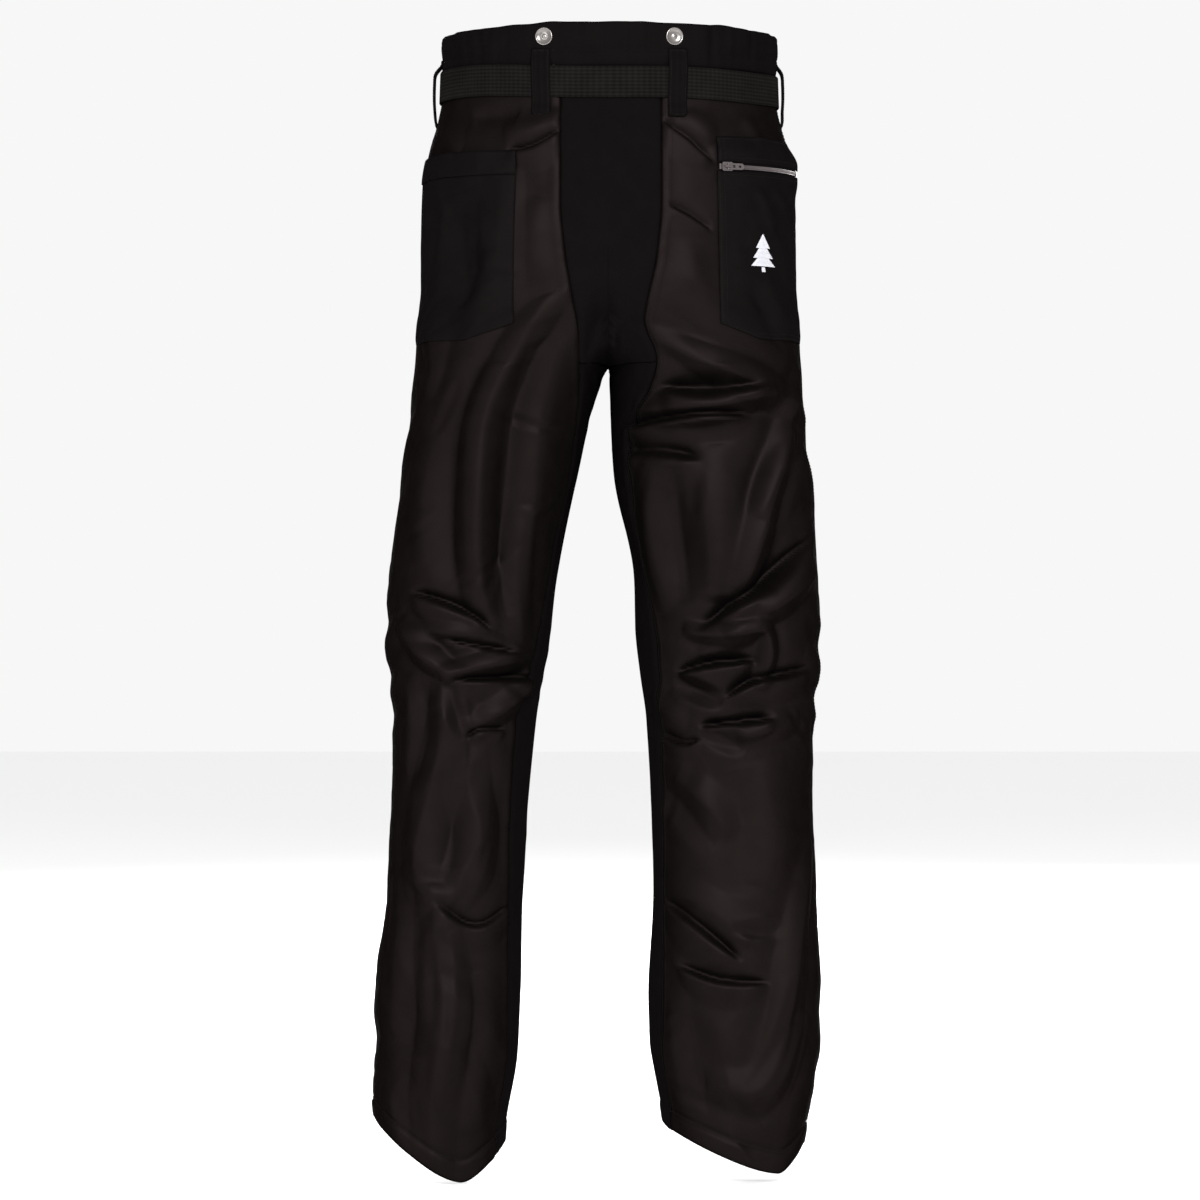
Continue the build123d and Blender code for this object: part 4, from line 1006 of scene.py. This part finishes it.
def make_pad(side, name):
    """The saw-protection pad, quilted in level rows, from the inner side to the outer one."""
    thick, quilt_pitch = 3.6, 60
    rows = z_rows(-72, hem_z(side) + 58, 8)
    inner = angle_of(side, side * 9, rows, FRONT, 10)
    angles, heights = fan(inner, OUTER[side] + side * 0.06, rows, 44)
    quilt = 0.7 * np.abs(np.sin(heights * math.pi / quilt_pitch)) ** 0.4
    pad = leg_cloth(f"{name}_saw_protection_pad", side, angles, heights, thick, PAD, "pad_fibre",
                    PAD_OUT + quilt, False)


def make_pocket_bag(side, name):
    """The hand pocket's bag, hung behind the front panel."""
    rows = z_rows(22, -183, 6)
    inner = angle_of(side, side * 64, rows, FRONT)
    angles, heights = fan(inner, OUTER[side] + side * 0.3, rows, 24)
    bag = leg_cloth(f"{name}_hand_pocket_bag", side, angles, heights, 1.0, LINING, "lining_fabric",
                    BAG_OUT, False)


def make_hem_band(side, name):
    """The turned-up band inside the hem."""
    rows = hem_z(side) + np.array([HEM_STITCH, 14, 8, 4, 1.5, 0.5])
    angles, heights = whole_leg(side, rows, 180)
    hem = leg_cloth(f"{name}_hem_band", side, angles, heights, 0.7, SATIN, "matte_fabric",
                    HEM_BAND_OUT + hem_turn(heights, side))


def make_inner_layers():
    for side, name in SIDE_NAMES.items():
        make_lining(side, name)
        make_pad(side, name)
        make_pocket_bag(side, name)
        make_hem_band(side, name)


# ---- the waist ---------------------------------------------------------------------------------

def waist_point(angle, z, out=0.0):
    """Points round the waistband."""
    here = base_point(RIGHT, angle, z)
    along = base_point(RIGHT, angle + NUDGE, z) - base_point(RIGHT, angle - NUDGE, z)
    normal = np.cross(along, UP)
    normal /= np.linalg.norm(normal, axis=-1, keepdims=True)
    lift = gathers(here[..., 0], here[..., 1], np.asarray(z, float)) + out
    return here + normal * lift[..., None]


CASING_PROFILE = [  # height and distance out, up the outside, over the top and down the inside
    (13, 0.45), (17, 0.9), (21, 1.5), (25, 1.7), (28, 1.3), (CASING_Z, 0.7), (CASING_Z + 2, 1.4),
    (CASING_Z + 5, 1.9), (38, 2.1), (42, 2.2), (46, 2.0), (50, 1.4), (53, 1.3),
    (WAIST_TOP_Z - 1.2, 0.9), (WAIST_TOP_Z, -0.3), (WAIST_TOP_Z - 0.2, -1.6), (WAIST_TOP_Z - 2, -2.6),
    (50, -2.9), (42, -3.1), (36, -3.0), (CASING_Z + 2, -2.8), (CASING_Z, -2.6)]


def make_waistband():
    """The casing: up the outside, over a soft top edge and down the inside, with elastic in its back."""
    profile_z, profile_out = np.array(CASING_PROFILE, float).T
    cols = 620
    ends = math.radians(90.4), math.radians(449.6)  # all the way round from the front opening
    angles, heights = fan(*ends, profile_z, cols)
    run = angles * TURN_RADIUS
    sag = 1.0 * noise(run / 60, 0 * run, 61) + 0.8 * noise(run / 17, 0 * run, 62)
    x = base_point(RIGHT, angles, heights)[..., 0]
    drop = -3.2 * (np.abs(x) / 160) ** 2.5
    points = waist_point(angles, heights, profile_out[:, None])
    points[..., 2] += (drop + sag) * smooth((heights - 44) / 12)
    casing = cloth("waistband_casing", points, run, heights, 0.5, CASING)

    rows = (33.5, 38, 43, 48, 52.5)
    angles, heights = fan(math.radians(172), math.radians(368), rows, 160)
    points = waist_point(angles, heights, -0.9)
    elastic = cloth("waist_elastic", points, angles * TURN_RADIUS, heights, 1.0, ELASTIC)


BELT_HALF = 15.0
BELT_LEAN = -0.018  # the belt sits lower on the right


def belt_profile(low, high):
    """The webbing's cross-section: height and distance out, as a rounded flat loop."""
    middle, half = (low + high) / 2, (high - low) / 2
    side, edge = BELT_HALF - 1.0, BELT_HALF - 0.2
    outside = [(z, high) for z in np.linspace(12, -12, 9)]
    return [(edge, middle + half * 0.4), (side, high), *outside, (-side, high), (-edge, middle + half * 0.4),
            (-edge, middle - half * 0.4), (-side, low), (0, low), (side, low), (edge, middle - half * 0.4)]


def webbing(name, first, last, low, high, cols):
    """Flat strap round the waist between two angles in degrees."""
    shape = belt_profile(low, high)
    rows = len(shape)
    angles = np.radians(np.linspace(first, last, cols))
    points = np.zeros((rows, cols, 3))
    for j, angle in enumerate(angles):
        base, _, normal = waist_frame(math.degrees(angle), -BELT_HALF)
        sway = BELT_LEAN * base[0] + 0.9 * math.sin(5 * angle + 1.0) + 2.6 * (abs(base[0]) / 160) ** 3
        wobble = 0.35 * math.sin(9 * angle + 2) + 0.25 * math.sin(23 * angle)
        lean_in = 0.035 * (1 - abs(math.sin(angle)))
        for i, (z, out) in enumerate(shape):
            points[i, j] = base + normal * (out + wobble * 0.5 - lean_in * z)
            points[i, j, 2] = z + sway
    faces = []
    for i in range(rows):
        k = (i + 1) % rows
        for j in range(cols - 1):
            faces.append((i * cols + j, k * cols + j, k * cols + j + 1, i * cols + j + 1))
    faces.append(tuple(i * cols for i in range(rows)))
    faces.append(tuple(i * cols + cols - 1 for i in reversed(range(rows))))
    obj = new_object(name, points.reshape(-1, 3) * MM, faces)
    weave_attribute(obj, angles * TURN_RADIUS, [[z] for z, _ in shape])
    return finish_piece(obj, WEBBING, (name,))


def make_belt():
    """The strap from one side of the buckle round to the other, and its free end laid on it."""
    belt = webbing("belt_webbing", 91, 449, 0.9, 2.4, 360)
    free_end = webbing("belt_free_end", 99.5, 112, 3.0, 4.5, 24)


LOOPS = {  # name: degrees round the waist, gap in front of the belt
    "back_left_belt_loop": (248.5, 0.7), "back_right_belt_loop": (291.5, 0.7),
    "left_side_belt_loop": (180, 4.5), "right_side_belt_loop": (0, 3.6),
    "front_left_belt_loop": (124, 0.9), "front_right_belt_loop": (56, 0.9),
}
LOOP_HALF = 9.3


def make_loops():
    """Folded strips with three stitched ribs, tacked at both ends and bowed over the belt."""
    across = np.linspace(-LOOP_HALF, LOOP_HALF, 19)
    crown = 0.75 * (1 - (np.abs(across) / LOOP_HALF) ** 6)
    ribs = 0.28 * np.cos(across / LOOP_HALF * 3 * math.pi)
    stitch_lines = []
    for name, (degrees, gap) in LOOPS.items():
        origin, along, normal = waist_frame(degrees, 0.0)
        foot_out = float((waist_frame(degrees, -32.0)[0] - origin) @ normal) + 1.2
        over = float((waist_frame(degrees, -15.0)[0] - origin) @ normal) + 2.6 + gap
        path = curve_points([(31.5, 1.6), (27, 2.4), (19, over * 0.93), (8, over + 0.5), (-6, over + 0.7),
                             (-18, over + 0.1), (-27, foot_out + 1.4), (-33, foot_out)], 6)
        tilt = 0.03 * np.sign(origin[0]) if abs(origin[1]) > 60 else 0.0
        up = path[:, :1]
        sideways = (across + tilt * (up + 32))[..., None]
        outwards = (path[:, 1:] + crown + ribs)[..., None]
        points = origin + along * sideways + normal * outwards
        points[..., 2] = up
        loop = cloth(name, points, across, up, 1.3, CASING)
        stitch_lines += [points[2:-2, column] + normal * 0.15 for column in (2, 16)]
        stitch_lines += [points[row, 3:-3] + normal * 0.2 for row in (2, 3, -4, -3)]
    dashes("belt_loop_stitching", stitch_lines, pitch=2.6, length=2.0, radius=0.2)


# ---- buttons -----------------------------------------------------------------------------------

BUTTON_PROFILE = [  # radius and height above the cloth, from the rim's foot to the centre
    (5.6, 0.9), (7.6, 1.0), (8.3, 1.4), (8.5, 2.2), (8.45, 3.0), (8.1, 3.55), (7.6, 3.75), (7.1, 3.6),
    (6.8, 3.2), (6.5, 2.95), (5.6, 2.6), (4.4, 2.3), (3.0, 2.1), (1.9, 2.1), (1.6, 2.3), (1.2, 2.45),
    (0.6, 2.5)]


def make_buttons():
    """Pressed caps with a rolled rim and a dished face, one lathe form each."""
    for name, places in BUTTONS.items():
        caps = []
        for degrees in places:
            origin, along, normal = waist_frame(degrees, BUTTON_Z)
            caps.append([ring_of(origin + normal * (height + 0.6), radius * along, -radius * UP, 48)
                         for radius, height in BUTTON_PROFILE])
        tube_piece(name, caps, BUTTON_METAL, (name,))


KEPT_SHAPES = {  # CAD pieces whose shape is right
    BUTTON_METAL: ["back_brace_button_tacks", "front_brace_button_tacks", "waist_button_tacks"],
    BUCKLE_METAL: ["buckle_frame", "buckle_pin", "buckle_lever", "belt_tip"],
    ZIP_METAL: ["pocket_zip_slider", "pocket_zip_pull", "pocket_zip_stops", "fly_zip_slider",
                "fly_zip_pull", "fly_zip_stops"],
}


def carry_over():
    """Finer edges and better materials for the CAD pieces that are kept."""
    for material, names in KEPT_SHAPES.items():
        for name in names:
            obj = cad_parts[name]
            obj.data.materials.clear()
            obj.data.materials.append(material)
            bevel = obj.modifiers.new("soft_edges", "BEVEL")
            bevel.width = 0.22 * MM
            bevel.segments = 2
            bevel.limit_method = "ANGLE"
            bevel.angle_limit = math.radians(40)


# ---- pockets -----------------------------------------------------------------------------------

def patch_out(arc, heights, bottom):
    """How far a patch stands off the panel: sewn down at its edges and slack in its middle."""
    from_sides = np.minimum(np.abs(arc - arc[:, :1]), np.abs(arc - arc[:, -1:]))
    distance = np.minimum(from_sides, heights - bottom)
    return 2.0 * (0.55 + 0.45 * smooth(distance / 5)) + 1.6 * smooth(distance / 38)


CORNER_Z = -228.0  # where the cut corners begin
OPEN_TOP, OPEN_BOTTOM = -66.0, -243.0
OPEN_HEM = 22.0  # depth of the open pocket's hem
ZIP_TOP, ZIP_BOTTOM = -51.0, -242.0
POCKET_STITCH = {"pitch": 2.9, "length": 2.2}


def patch_edge(zs, top, bottom, start, slope, cut):
    """A patch's inner edge, as x at each height: it slopes slightly, and its lower corner is cut off."""
    share = np.clip((CORNER_Z - zs) / (CORNER_Z - bottom), 0, 1)
    return start + slope * (top - zs) + cut * share


def patch_heights(top, bottom, rows):
    """Heights down a patch, with rows of their own for the cut corner."""
    return np.concatenate([np.linspace(top, CORNER_Z + 2, rows), np.linspace(CORNER_Z, bottom, 9)])


def make_open_pocket():
    """The left back pocket, open at the top, its lower inner corner cut off."""
    hem_rows = np.linspace(OPEN_TOP, OPEN_TOP - OPEN_HEM, 10)
    patch_rows = patch_heights(OPEN_TOP - OPEN_HEM, OPEN_BOTTOM, int(140 / STEP))
    for name, zs, size in (("open_pocket_hem", hem_rows, (0.13, 0.022)),
                           ("open_pocket_patch", patch_rows, (0.13, 0.16))):
        inner = angle_of(LEFT, patch_edge(zs, OPEN_TOP, OPEN_BOTTOM, -86.5, -0.0212, -46), zs, BACK)
        angles, heights = fan(inner, 0.10 - math.pi, zs, 64)
        arc, _ = arc_of(LEFT, angles, heights)
        t = np.linspace(0, 1, 64)
        out = patch_out(arc, heights, OPEN_BOTTOM)
        out += 3.0 * np.sin(np.pi * t) ** 0.8 * smooth((heights - OPEN_TOP + 40) / 40)
        out += 0.66 * noise(arc / 26, heights / 60, 91) + 0.3 * noise(arc / 9, heights / 30, 92)
        is_hem = name == "open_pocket_hem"
        points = surface(LEFT, angles, heights, out=out + (0.5 if is_hem else 0.0), seams=False)
        points[..., 2] -= 3.0 * smooth((t - 0.5) / 0.5) * smooth((heights - OPEN_TOP + 60) / 60)
        patch = cloth(name, points, arc, heights, 1.4 if is_hem else CLOTH, POCKET)
        if is_hem:
            lines = [points[-1] + (0, -0.5, 0), points[1] + (0, -0.5, 0)]
            dashes("open_pocket_hem_stitching", lines, **POCKET_STITCH)
        else:
            lines = [points[:, column] + (0.3, -0.45, 0) for column in (1, 3)]
            lines += [points[row, 2:] + (0, -0.45, 0.3) for row in (-2, -4)]
            dashes("open_pocket_stitching", lines, **POCKET_STITCH)


def make_zip_pocket():
    """The right back pocket's cloth, above and below the zip's mouth."""
    upper_rows = np.linspace(ZIP_TOP, ZIP_Z + ZIP_HALF_GAP, 12)
    lower_rows = patch_heights(ZIP_Z - ZIP_HALF_GAP, ZIP_BOTTOM, int(143 / STEP))
    lines = []
    edge, mouth = slice(2, None), slice(2, -2)  # the columns that a stitch line crosses
    for name, zs, size, seam_rows in (
            ("zip_pocket_upper_patch", upper_rows, (0.12, 0.024), ((1, edge), (-3, mouth))),
            ("zip_pocket_lower_patch", lower_rows, (0.12, 0.16), ((-2, edge), (-4, edge), (2, mouth)))):
        inner = angle_of(RIGHT, patch_edge(zs, ZIP_TOP, ZIP_BOTTOM, 100.5, 0.02, 38), zs, BACK)
        angles, heights = fan(inner, -0.10, zs, 60)
        arc, _ = arc_of(RIGHT, angles, heights)
        crease = 0.72 * noise(arc / 22, heights / 75, 95) + 0.3 * noise(arc / 8, heights / 26, 96)
        slack = smooth((ZIP_Z - 14 - heights) / 30)
        out = patch_out(arc, heights, ZIP_BOTTOM) + crease * slack
        points = toward_zip(surface(RIGHT, angles, heights, out=out, seams=False), -0.1)
        from_zip = np.abs(heights - ZIP_Z)
        points[..., 1] += 0.9 * np.exp(-(from_zip - ZIP_HALF_GAP) / 1.2) * (from_zip < 12)
        patch = cloth(name, points, arc, heights, CLOTH, POCKET)
        lift = (-0.1, -0.45, 0)
        lines += [points[1:-1, column] + lift for column in (1, 3)]
        lines += [points[row, columns] + lift for row, columns in seam_rows]
    dashes("zip_pocket_stitching", lines, **POCKET_STITCH)


ZIP_COLS = 60


def zip_point(radius, angle, z):
    return np.array([ZIP_AXIS.x + radius * math.cos(angle), ZIP_AXIS.y + radius * math.sin(angle), z])


def zip_grid(radii, zs):
    """Rows of points along the zip's arc, one for each radius and height."""
    angles = np.linspace(ZIP_START_ANGLE, ZIP_END_ANGLE, ZIP_COLS)
    return np.array([[zip_point(r, a, z) for a in angles] for r, z in zip(radii, zs)])


def coil(name, frame_at, length):
    """Interlocked coil teeth: rounded bars across the tape, with two cords beside them."""
    pitch, bar_length, stagger, cord_offset = 1.05, 3.3, 0.35, 1.55
    tubes = []
    for index in range(int(length / pitch)):
        origin, along, up, out = frame_at((index + 0.5) * pitch)
        shift = stagger if index % 2 else -stagger
        bar = []
        for t in np.linspace(0, 1, 5):
            swell = math.sin(math.pi * min(max(t, 0.06), 0.94)) ** 0.5
            centre = origin + up * ((t - 0.5) * bar_length + shift) - 0.35 * out
            bar.append(ring_of(centre, 0.40 * swell * along, 0.55 * swell * out, 8))
        tubes.append(bar)
    for offset in (-cord_offset, cord_offset):
        cord = []
        for run in np.linspace(0, length, max(12, int(length / 3)) + 1):
            origin, _, up, out = frame_at(run)
            cord.append(ring_of(origin + offset * up - 0.2 * out, 0.35 * up, 0.35 * out, 8))
        tubes.append(cord)
    tube_piece(name, tubes, COIL, (name,))


def make_pocket_zip():
    """The pocket zip's tape, the facings that edge its mouth, and its coil."""
    tape_radius, tape_half = ZIP_RADIUS - 1.8, 10.5
    run = np.linspace(ZIP_START_ANGLE, ZIP_END_ANGLE, ZIP_COLS) * tape_radius
    tape_z = np.linspace(ZIP_Z + tape_half, ZIP_Z - tape_half, 4)
    points = zip_grid(np.full(4, tape_radius), tape_z)
    tape = cloth("pocket_zip_tape", points, run, tape_z[:, None], 0.6, TAPE)

    radii = ZIP_RADIUS + np.array([-1.1, -0.9, -1.0, -1.1])
    steps = np.array([ZIP_HALF_GAP - 0.5, ZIP_HALF_GAP, ZIP_HALF_GAP + 3, ZIP_HALF_GAP + 8])
    points = np.concatenate([zip_grid(radii, ZIP_Z - steps), zip_grid(radii, ZIP_Z + steps)[::-1]])
    one = grid_faces(4, ZIP_COLS)
    other = [tuple(corner + 4 * ZIP_COLS for corner in face) for face in one]
    facings = new_object("pocket_zip_facings", points.reshape(-1, 3) * MM, one + other)
    weave_attribute(facings, points[..., 0], points[..., 2])
    thicken(facings, 0.5)
    finish_piece(facings, POCKET, ("pocket_zip_facings",))

    def frame_at(distance):
        angle = ZIP_START_ANGLE + (distance + 2.5) / ZIP_RADIUS
        out = np.array([math.cos(angle), math.sin(angle), 0])
        along = np.array([-math.sin(angle), math.cos(angle), 0])
        return zip_point(ZIP_RADIUS - 0.1, angle, ZIP_Z), along, UP, out

    coil("pocket_zip_coil", frame_at, (ZIP_END_ANGLE - ZIP_START_ANGLE) * ZIP_RADIUS - 5)


# Each tier of the badge's tree: level of its tip and foot, half width at tip and foot, by the height.
TREE_TIERS = [(1.0, 0.62, 0.0, 0.186), (0.74, 0.36, 0.031, 0.2604), (0.48, 0.14, 0.0496, 0.3224)]
TREE_X, TREE_Z, TREE_HEIGHT = 143.0, -160.0, 36.0


def tree_half_width(level):
    """Half the tree's width at a level from 0 at its foot to 1 at its top."""
    if level < 0.12:
        return 1.6
    for top, low, narrow, wide in TREE_TIERS:
        if low <= level <= top:
            return TREE_HEIGHT * (narrow + (wide - narrow) * (top - level) / (top - low))
    return 0


def make_badge():
    """A plain embroidered fir tree, each satin stitch its own thread laid on the pocket."""
    bpy.context.view_layer.update()
    depsgraph = bpy.context.evaluated_depsgraph_get()
    pocket = bpy.data.objects["zip_pocket_lower_patch_look"].evaluated_get(depsgraph)
    threads = []
    thread_step = 0.0125  # one row of thread, as a share of the tree's height
    for level in np.arange(0.0, 1.0, thread_step):
        half = tree_half_width(level)
        if half < 0.4:
            continue
        xs = TREE_X + np.linspace(-half, half, 9)
        zs = np.full(9, TREE_Z + (level - 0.5) * TREE_HEIGHT)
        thread = []
        for i, place in enumerate(base_point(RIGHT, angle_of(RIGHT, xs, zs, BACK), zs)):
            inward = Vector((-0.4 * place[0], -place[1], 0)).normalized()
            start = Vector(place) * MM - inward * 0.03
            hit, where, _, _ = pocket.ray_cast(start, inward)
            spot = np.array(where) / MM if hit else place
            out = -np.array(inward)
            lump = 0.35 * math.sin(math.pi * i / 8) + 0.15
            thread.append(ring_of(spot + lump * out, 0.27 * UP, 0.26 * out, 5))
        threads.append(thread)
    tube_piece("pocket_badge", threads, BADGE, ("pocket_badge",))


# ---- fly and front -----------------------------------------------------------------------------

# The fly's plane: its directions down and outwards, and a point on it.
FLY_DOWN = np.array([0, 0.05489, -0.99849])
FLY_OUT = np.array([0, 0.99849, 0.05489])
FLY_ORIGIN = np.array([0, 106.0, 30.0])


def fly_point(z, x, out):
    """A point on the fly's slanting plane, out in front of it."""
    return FLY_ORIGIN + FLY_DOWN * (FLY_ORIGIN[2] - z) / -FLY_DOWN[2] + np.array([x, 0, 0]) + FLY_OUT * out


def fly_sheet(name, z_top, z_low, half, out, thick, material):
    """A flat sheet behind the fly, half its width to each side."""
    zs = np.linspace(z_top, z_low, 40)
    xs = np.linspace(half, -half, 9)
    points = np.array([[fly_point(z, x, out) for x in xs] for z in zs])
    return cloth(name, points, xs, zs[:, None], thick, material)


def make_fly():
    """The fly's tape, the underlap behind it and its coil."""
    tape = fly_sheet("fly_zip_tape", -22, -160, 12, -1.9, 0.6, TAPE)
    underlap = fly_sheet("fly_underlap", 28, -171, 22.5, -3.1, CLOTH, POCKET)

    def frame_at(distance):
        return fly_point(-25.5 - distance, 0, -0.1), FLY_DOWN, np.array([-1.0, 0, 0]), FLY_OUT

    coil("fly_zip_coil", frame_at, 131)


MOUTH = [(92, 24), (104, -40), (122, -96), (140, -140)]  # hand pocket mouth: x outwards, z
FLY_CURVE = [(34, 26), (34, -100), (30, -135), (18, -158), (5, -170)]


def front_line(side, places, out, shift=0.0, stretch=1.0):
    """A line of points on the front cloth through places, given as x outwards and z."""
    points = curve_points([(side * (x * stretch + shift), z) for x, z in places], 24)
    angle = angle_of(side, points[:, 0], points[:, 1], FRONT)
    return surface(side, angle, points[:, 1], out=out)


def make_binding(side, name):
    """The binding along a hand pocket's mouth."""
    points = curve_points([(side * x, z) for x, z in MOUTH], 20)
    half_angle = 0.03
    middle = angle_of(side, points[:, 0], points[:, 1], FRONT)
    angles, heights = fan(middle - side * half_angle, middle + side * half_angle, points[:, 1], 7)
    bulge = 0.9 + 0.9 * (1 - np.linspace(-1, 1, 7) ** 2)
    points = surface(side, angles, heights, out=bulge)
    arc, _ = arc_of(side, angles, heights)
    obj = cloth_grid(f"{name}_hand_pocket_binding", points, arc, heights)
    finish_piece(obj, POCKET)


def make_seam_stitching():
    """Twin needle lines beside the seams, hem lines, the fly's curve and the hand pockets' mouths."""
    for side, name in SIDE_NAMES.items():
        zs = z_rows(CASING_Z - 2, hem_z(side) + 2, 2.5)
        _, half_width, half_depth, _ = section(side, zs)
        lines = []
        for seam, direction in ((back_seam(side, zs), 1), (np.full_like(zs, OUTER[side]), -1)):
            for offset in (3.2, 8.5):
                turn = side * direction * offset / ((half_width + half_depth) / 2)
                lines.append(surface(side, seam + turn, zs, out=0.25))
        low = zs < CROTCH_Z - 30
        front = front_seam(side, zs[low]) - side * 3.2 / half_width[low]
        lines.append(surface(side, front, zs[low], out=0.25))
        dashes(f"{name}_seam_stitching", lines)
        ring = np.linspace(0, 2 * math.pi, 260)
        hem_line = surface(side, ring, np.full(260, hem_z(side) + HEM_STITCH), out=0.95)
        dashes(f"{name}_hem_stitching", [hem_line])
        dashes(f"{name}_hand_pocket_stitching", [front_line(side, MOUTH, 0.4, shift=5)])
        make_binding(side, name)
    fly_lines = [front_line(LEFT, FLY_CURVE, 0.35, stretch=stretch) for stretch in (1.0, 0.86)]
    dashes("fly_stitching", fly_lines)
    ring = np.linspace(math.radians(92), math.radians(448), 700)
    dashes("waistband_stitching", [waist_point(ring, np.full(700, CASING_Z), 0.95)])


# ---- the set -----------------------------------------------------------------------------------

def area_light(name, place, target, width, power, height=None):
    light = bpy.data.lights.new(name, "AREA")
    light.shape = "RECTANGLE"
    light.size = width
    light.size_y = height or width
    light.energy = power
    obj = add_object(name, light)
    obj.location = place
    obj.rotation_euler = (Vector(target) - Vector(place)).to_track_quat("-Z", "Y").to_euler()


def make_floor():
    half, gap = 12.0, 0.002
    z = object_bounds()[0].z - gap
    corners = [(-half, -half, z), (half, -half, z), (half, half, z), (-half, half, z)]
    mesh = bpy.data.meshes.new("floor")
    mesh.from_pydata(corners, [], [(0, 1, 2, 3)])
    floor = add_object("floor", mesh)
    material, _, shader = nodes_of("pale_floor")
    shader.inputs["Base Color"].default_value = (0.93, 0.93, 0.93, 1)
    shader.inputs["Roughness"].default_value = 0.9
    mesh.materials.append(material)


def make_set():
    """A pale floor under a white sky, with soft lamps before and behind."""
    make_floor()
    world = bpy.data.worlds.new("studio")
    bpy.context.scene.world = world
    world.use_nodes = True
    background = world.node_tree.nodes["Background"]
    background.inputs["Color"].default_value = (1, 1, 1, 1)
    background.inputs["Strength"].default_value = 0.93
    bpy.context.scene.view_settings.view_transform = "Standard"
    centre = (0, 0, -0.5)
    area_light("key", (0.55, -3.8, 1.25), (0, 0, -0.4), 0.85, 135)
    area_light("fill", (-1.9, -3.1, 0.1), centre, 0.6, 16, 1.6)
    area_light("back_key", (-0.6, 3.9, 1.2), centre, 0.85, 130)
    area_light("back_left", (-2.7, 2.7, 0.7), centre, 0.8, 130, 1.4)
    area_light("back_right", (2.7, 2.7, 0.7), centre, 0.8, 130, 1.4)


def make_camera():
    """A long lens level with the trousers' middle, square to their back."""
    camera = bpy.data.cameras.new("camera")
    distance, view_width = 4.3, 1.158
    centre_x, centre_z = -0.0087, -0.488
    camera.sensor_width = 36
    camera.lens = camera.sensor_width * distance / view_width
    camera.clip_end = 50
    obj = add_object("camera", camera)
    obj.location = (centre_x, -distance, centre_z)
    obj.rotation_euler = (math.pi / 2, 0, 0)
    bpy.context.scene.camera = obj


make_camera()
make_panels()
make_seat()
make_inner_layers()
make_waistband()
make_belt()
make_loops()
make_buttons()
make_open_pocket()
make_zip_pocket()
make_pocket_zip()
make_badge()
make_fly()
make_seam_stitching()
carry_over()
make_set()
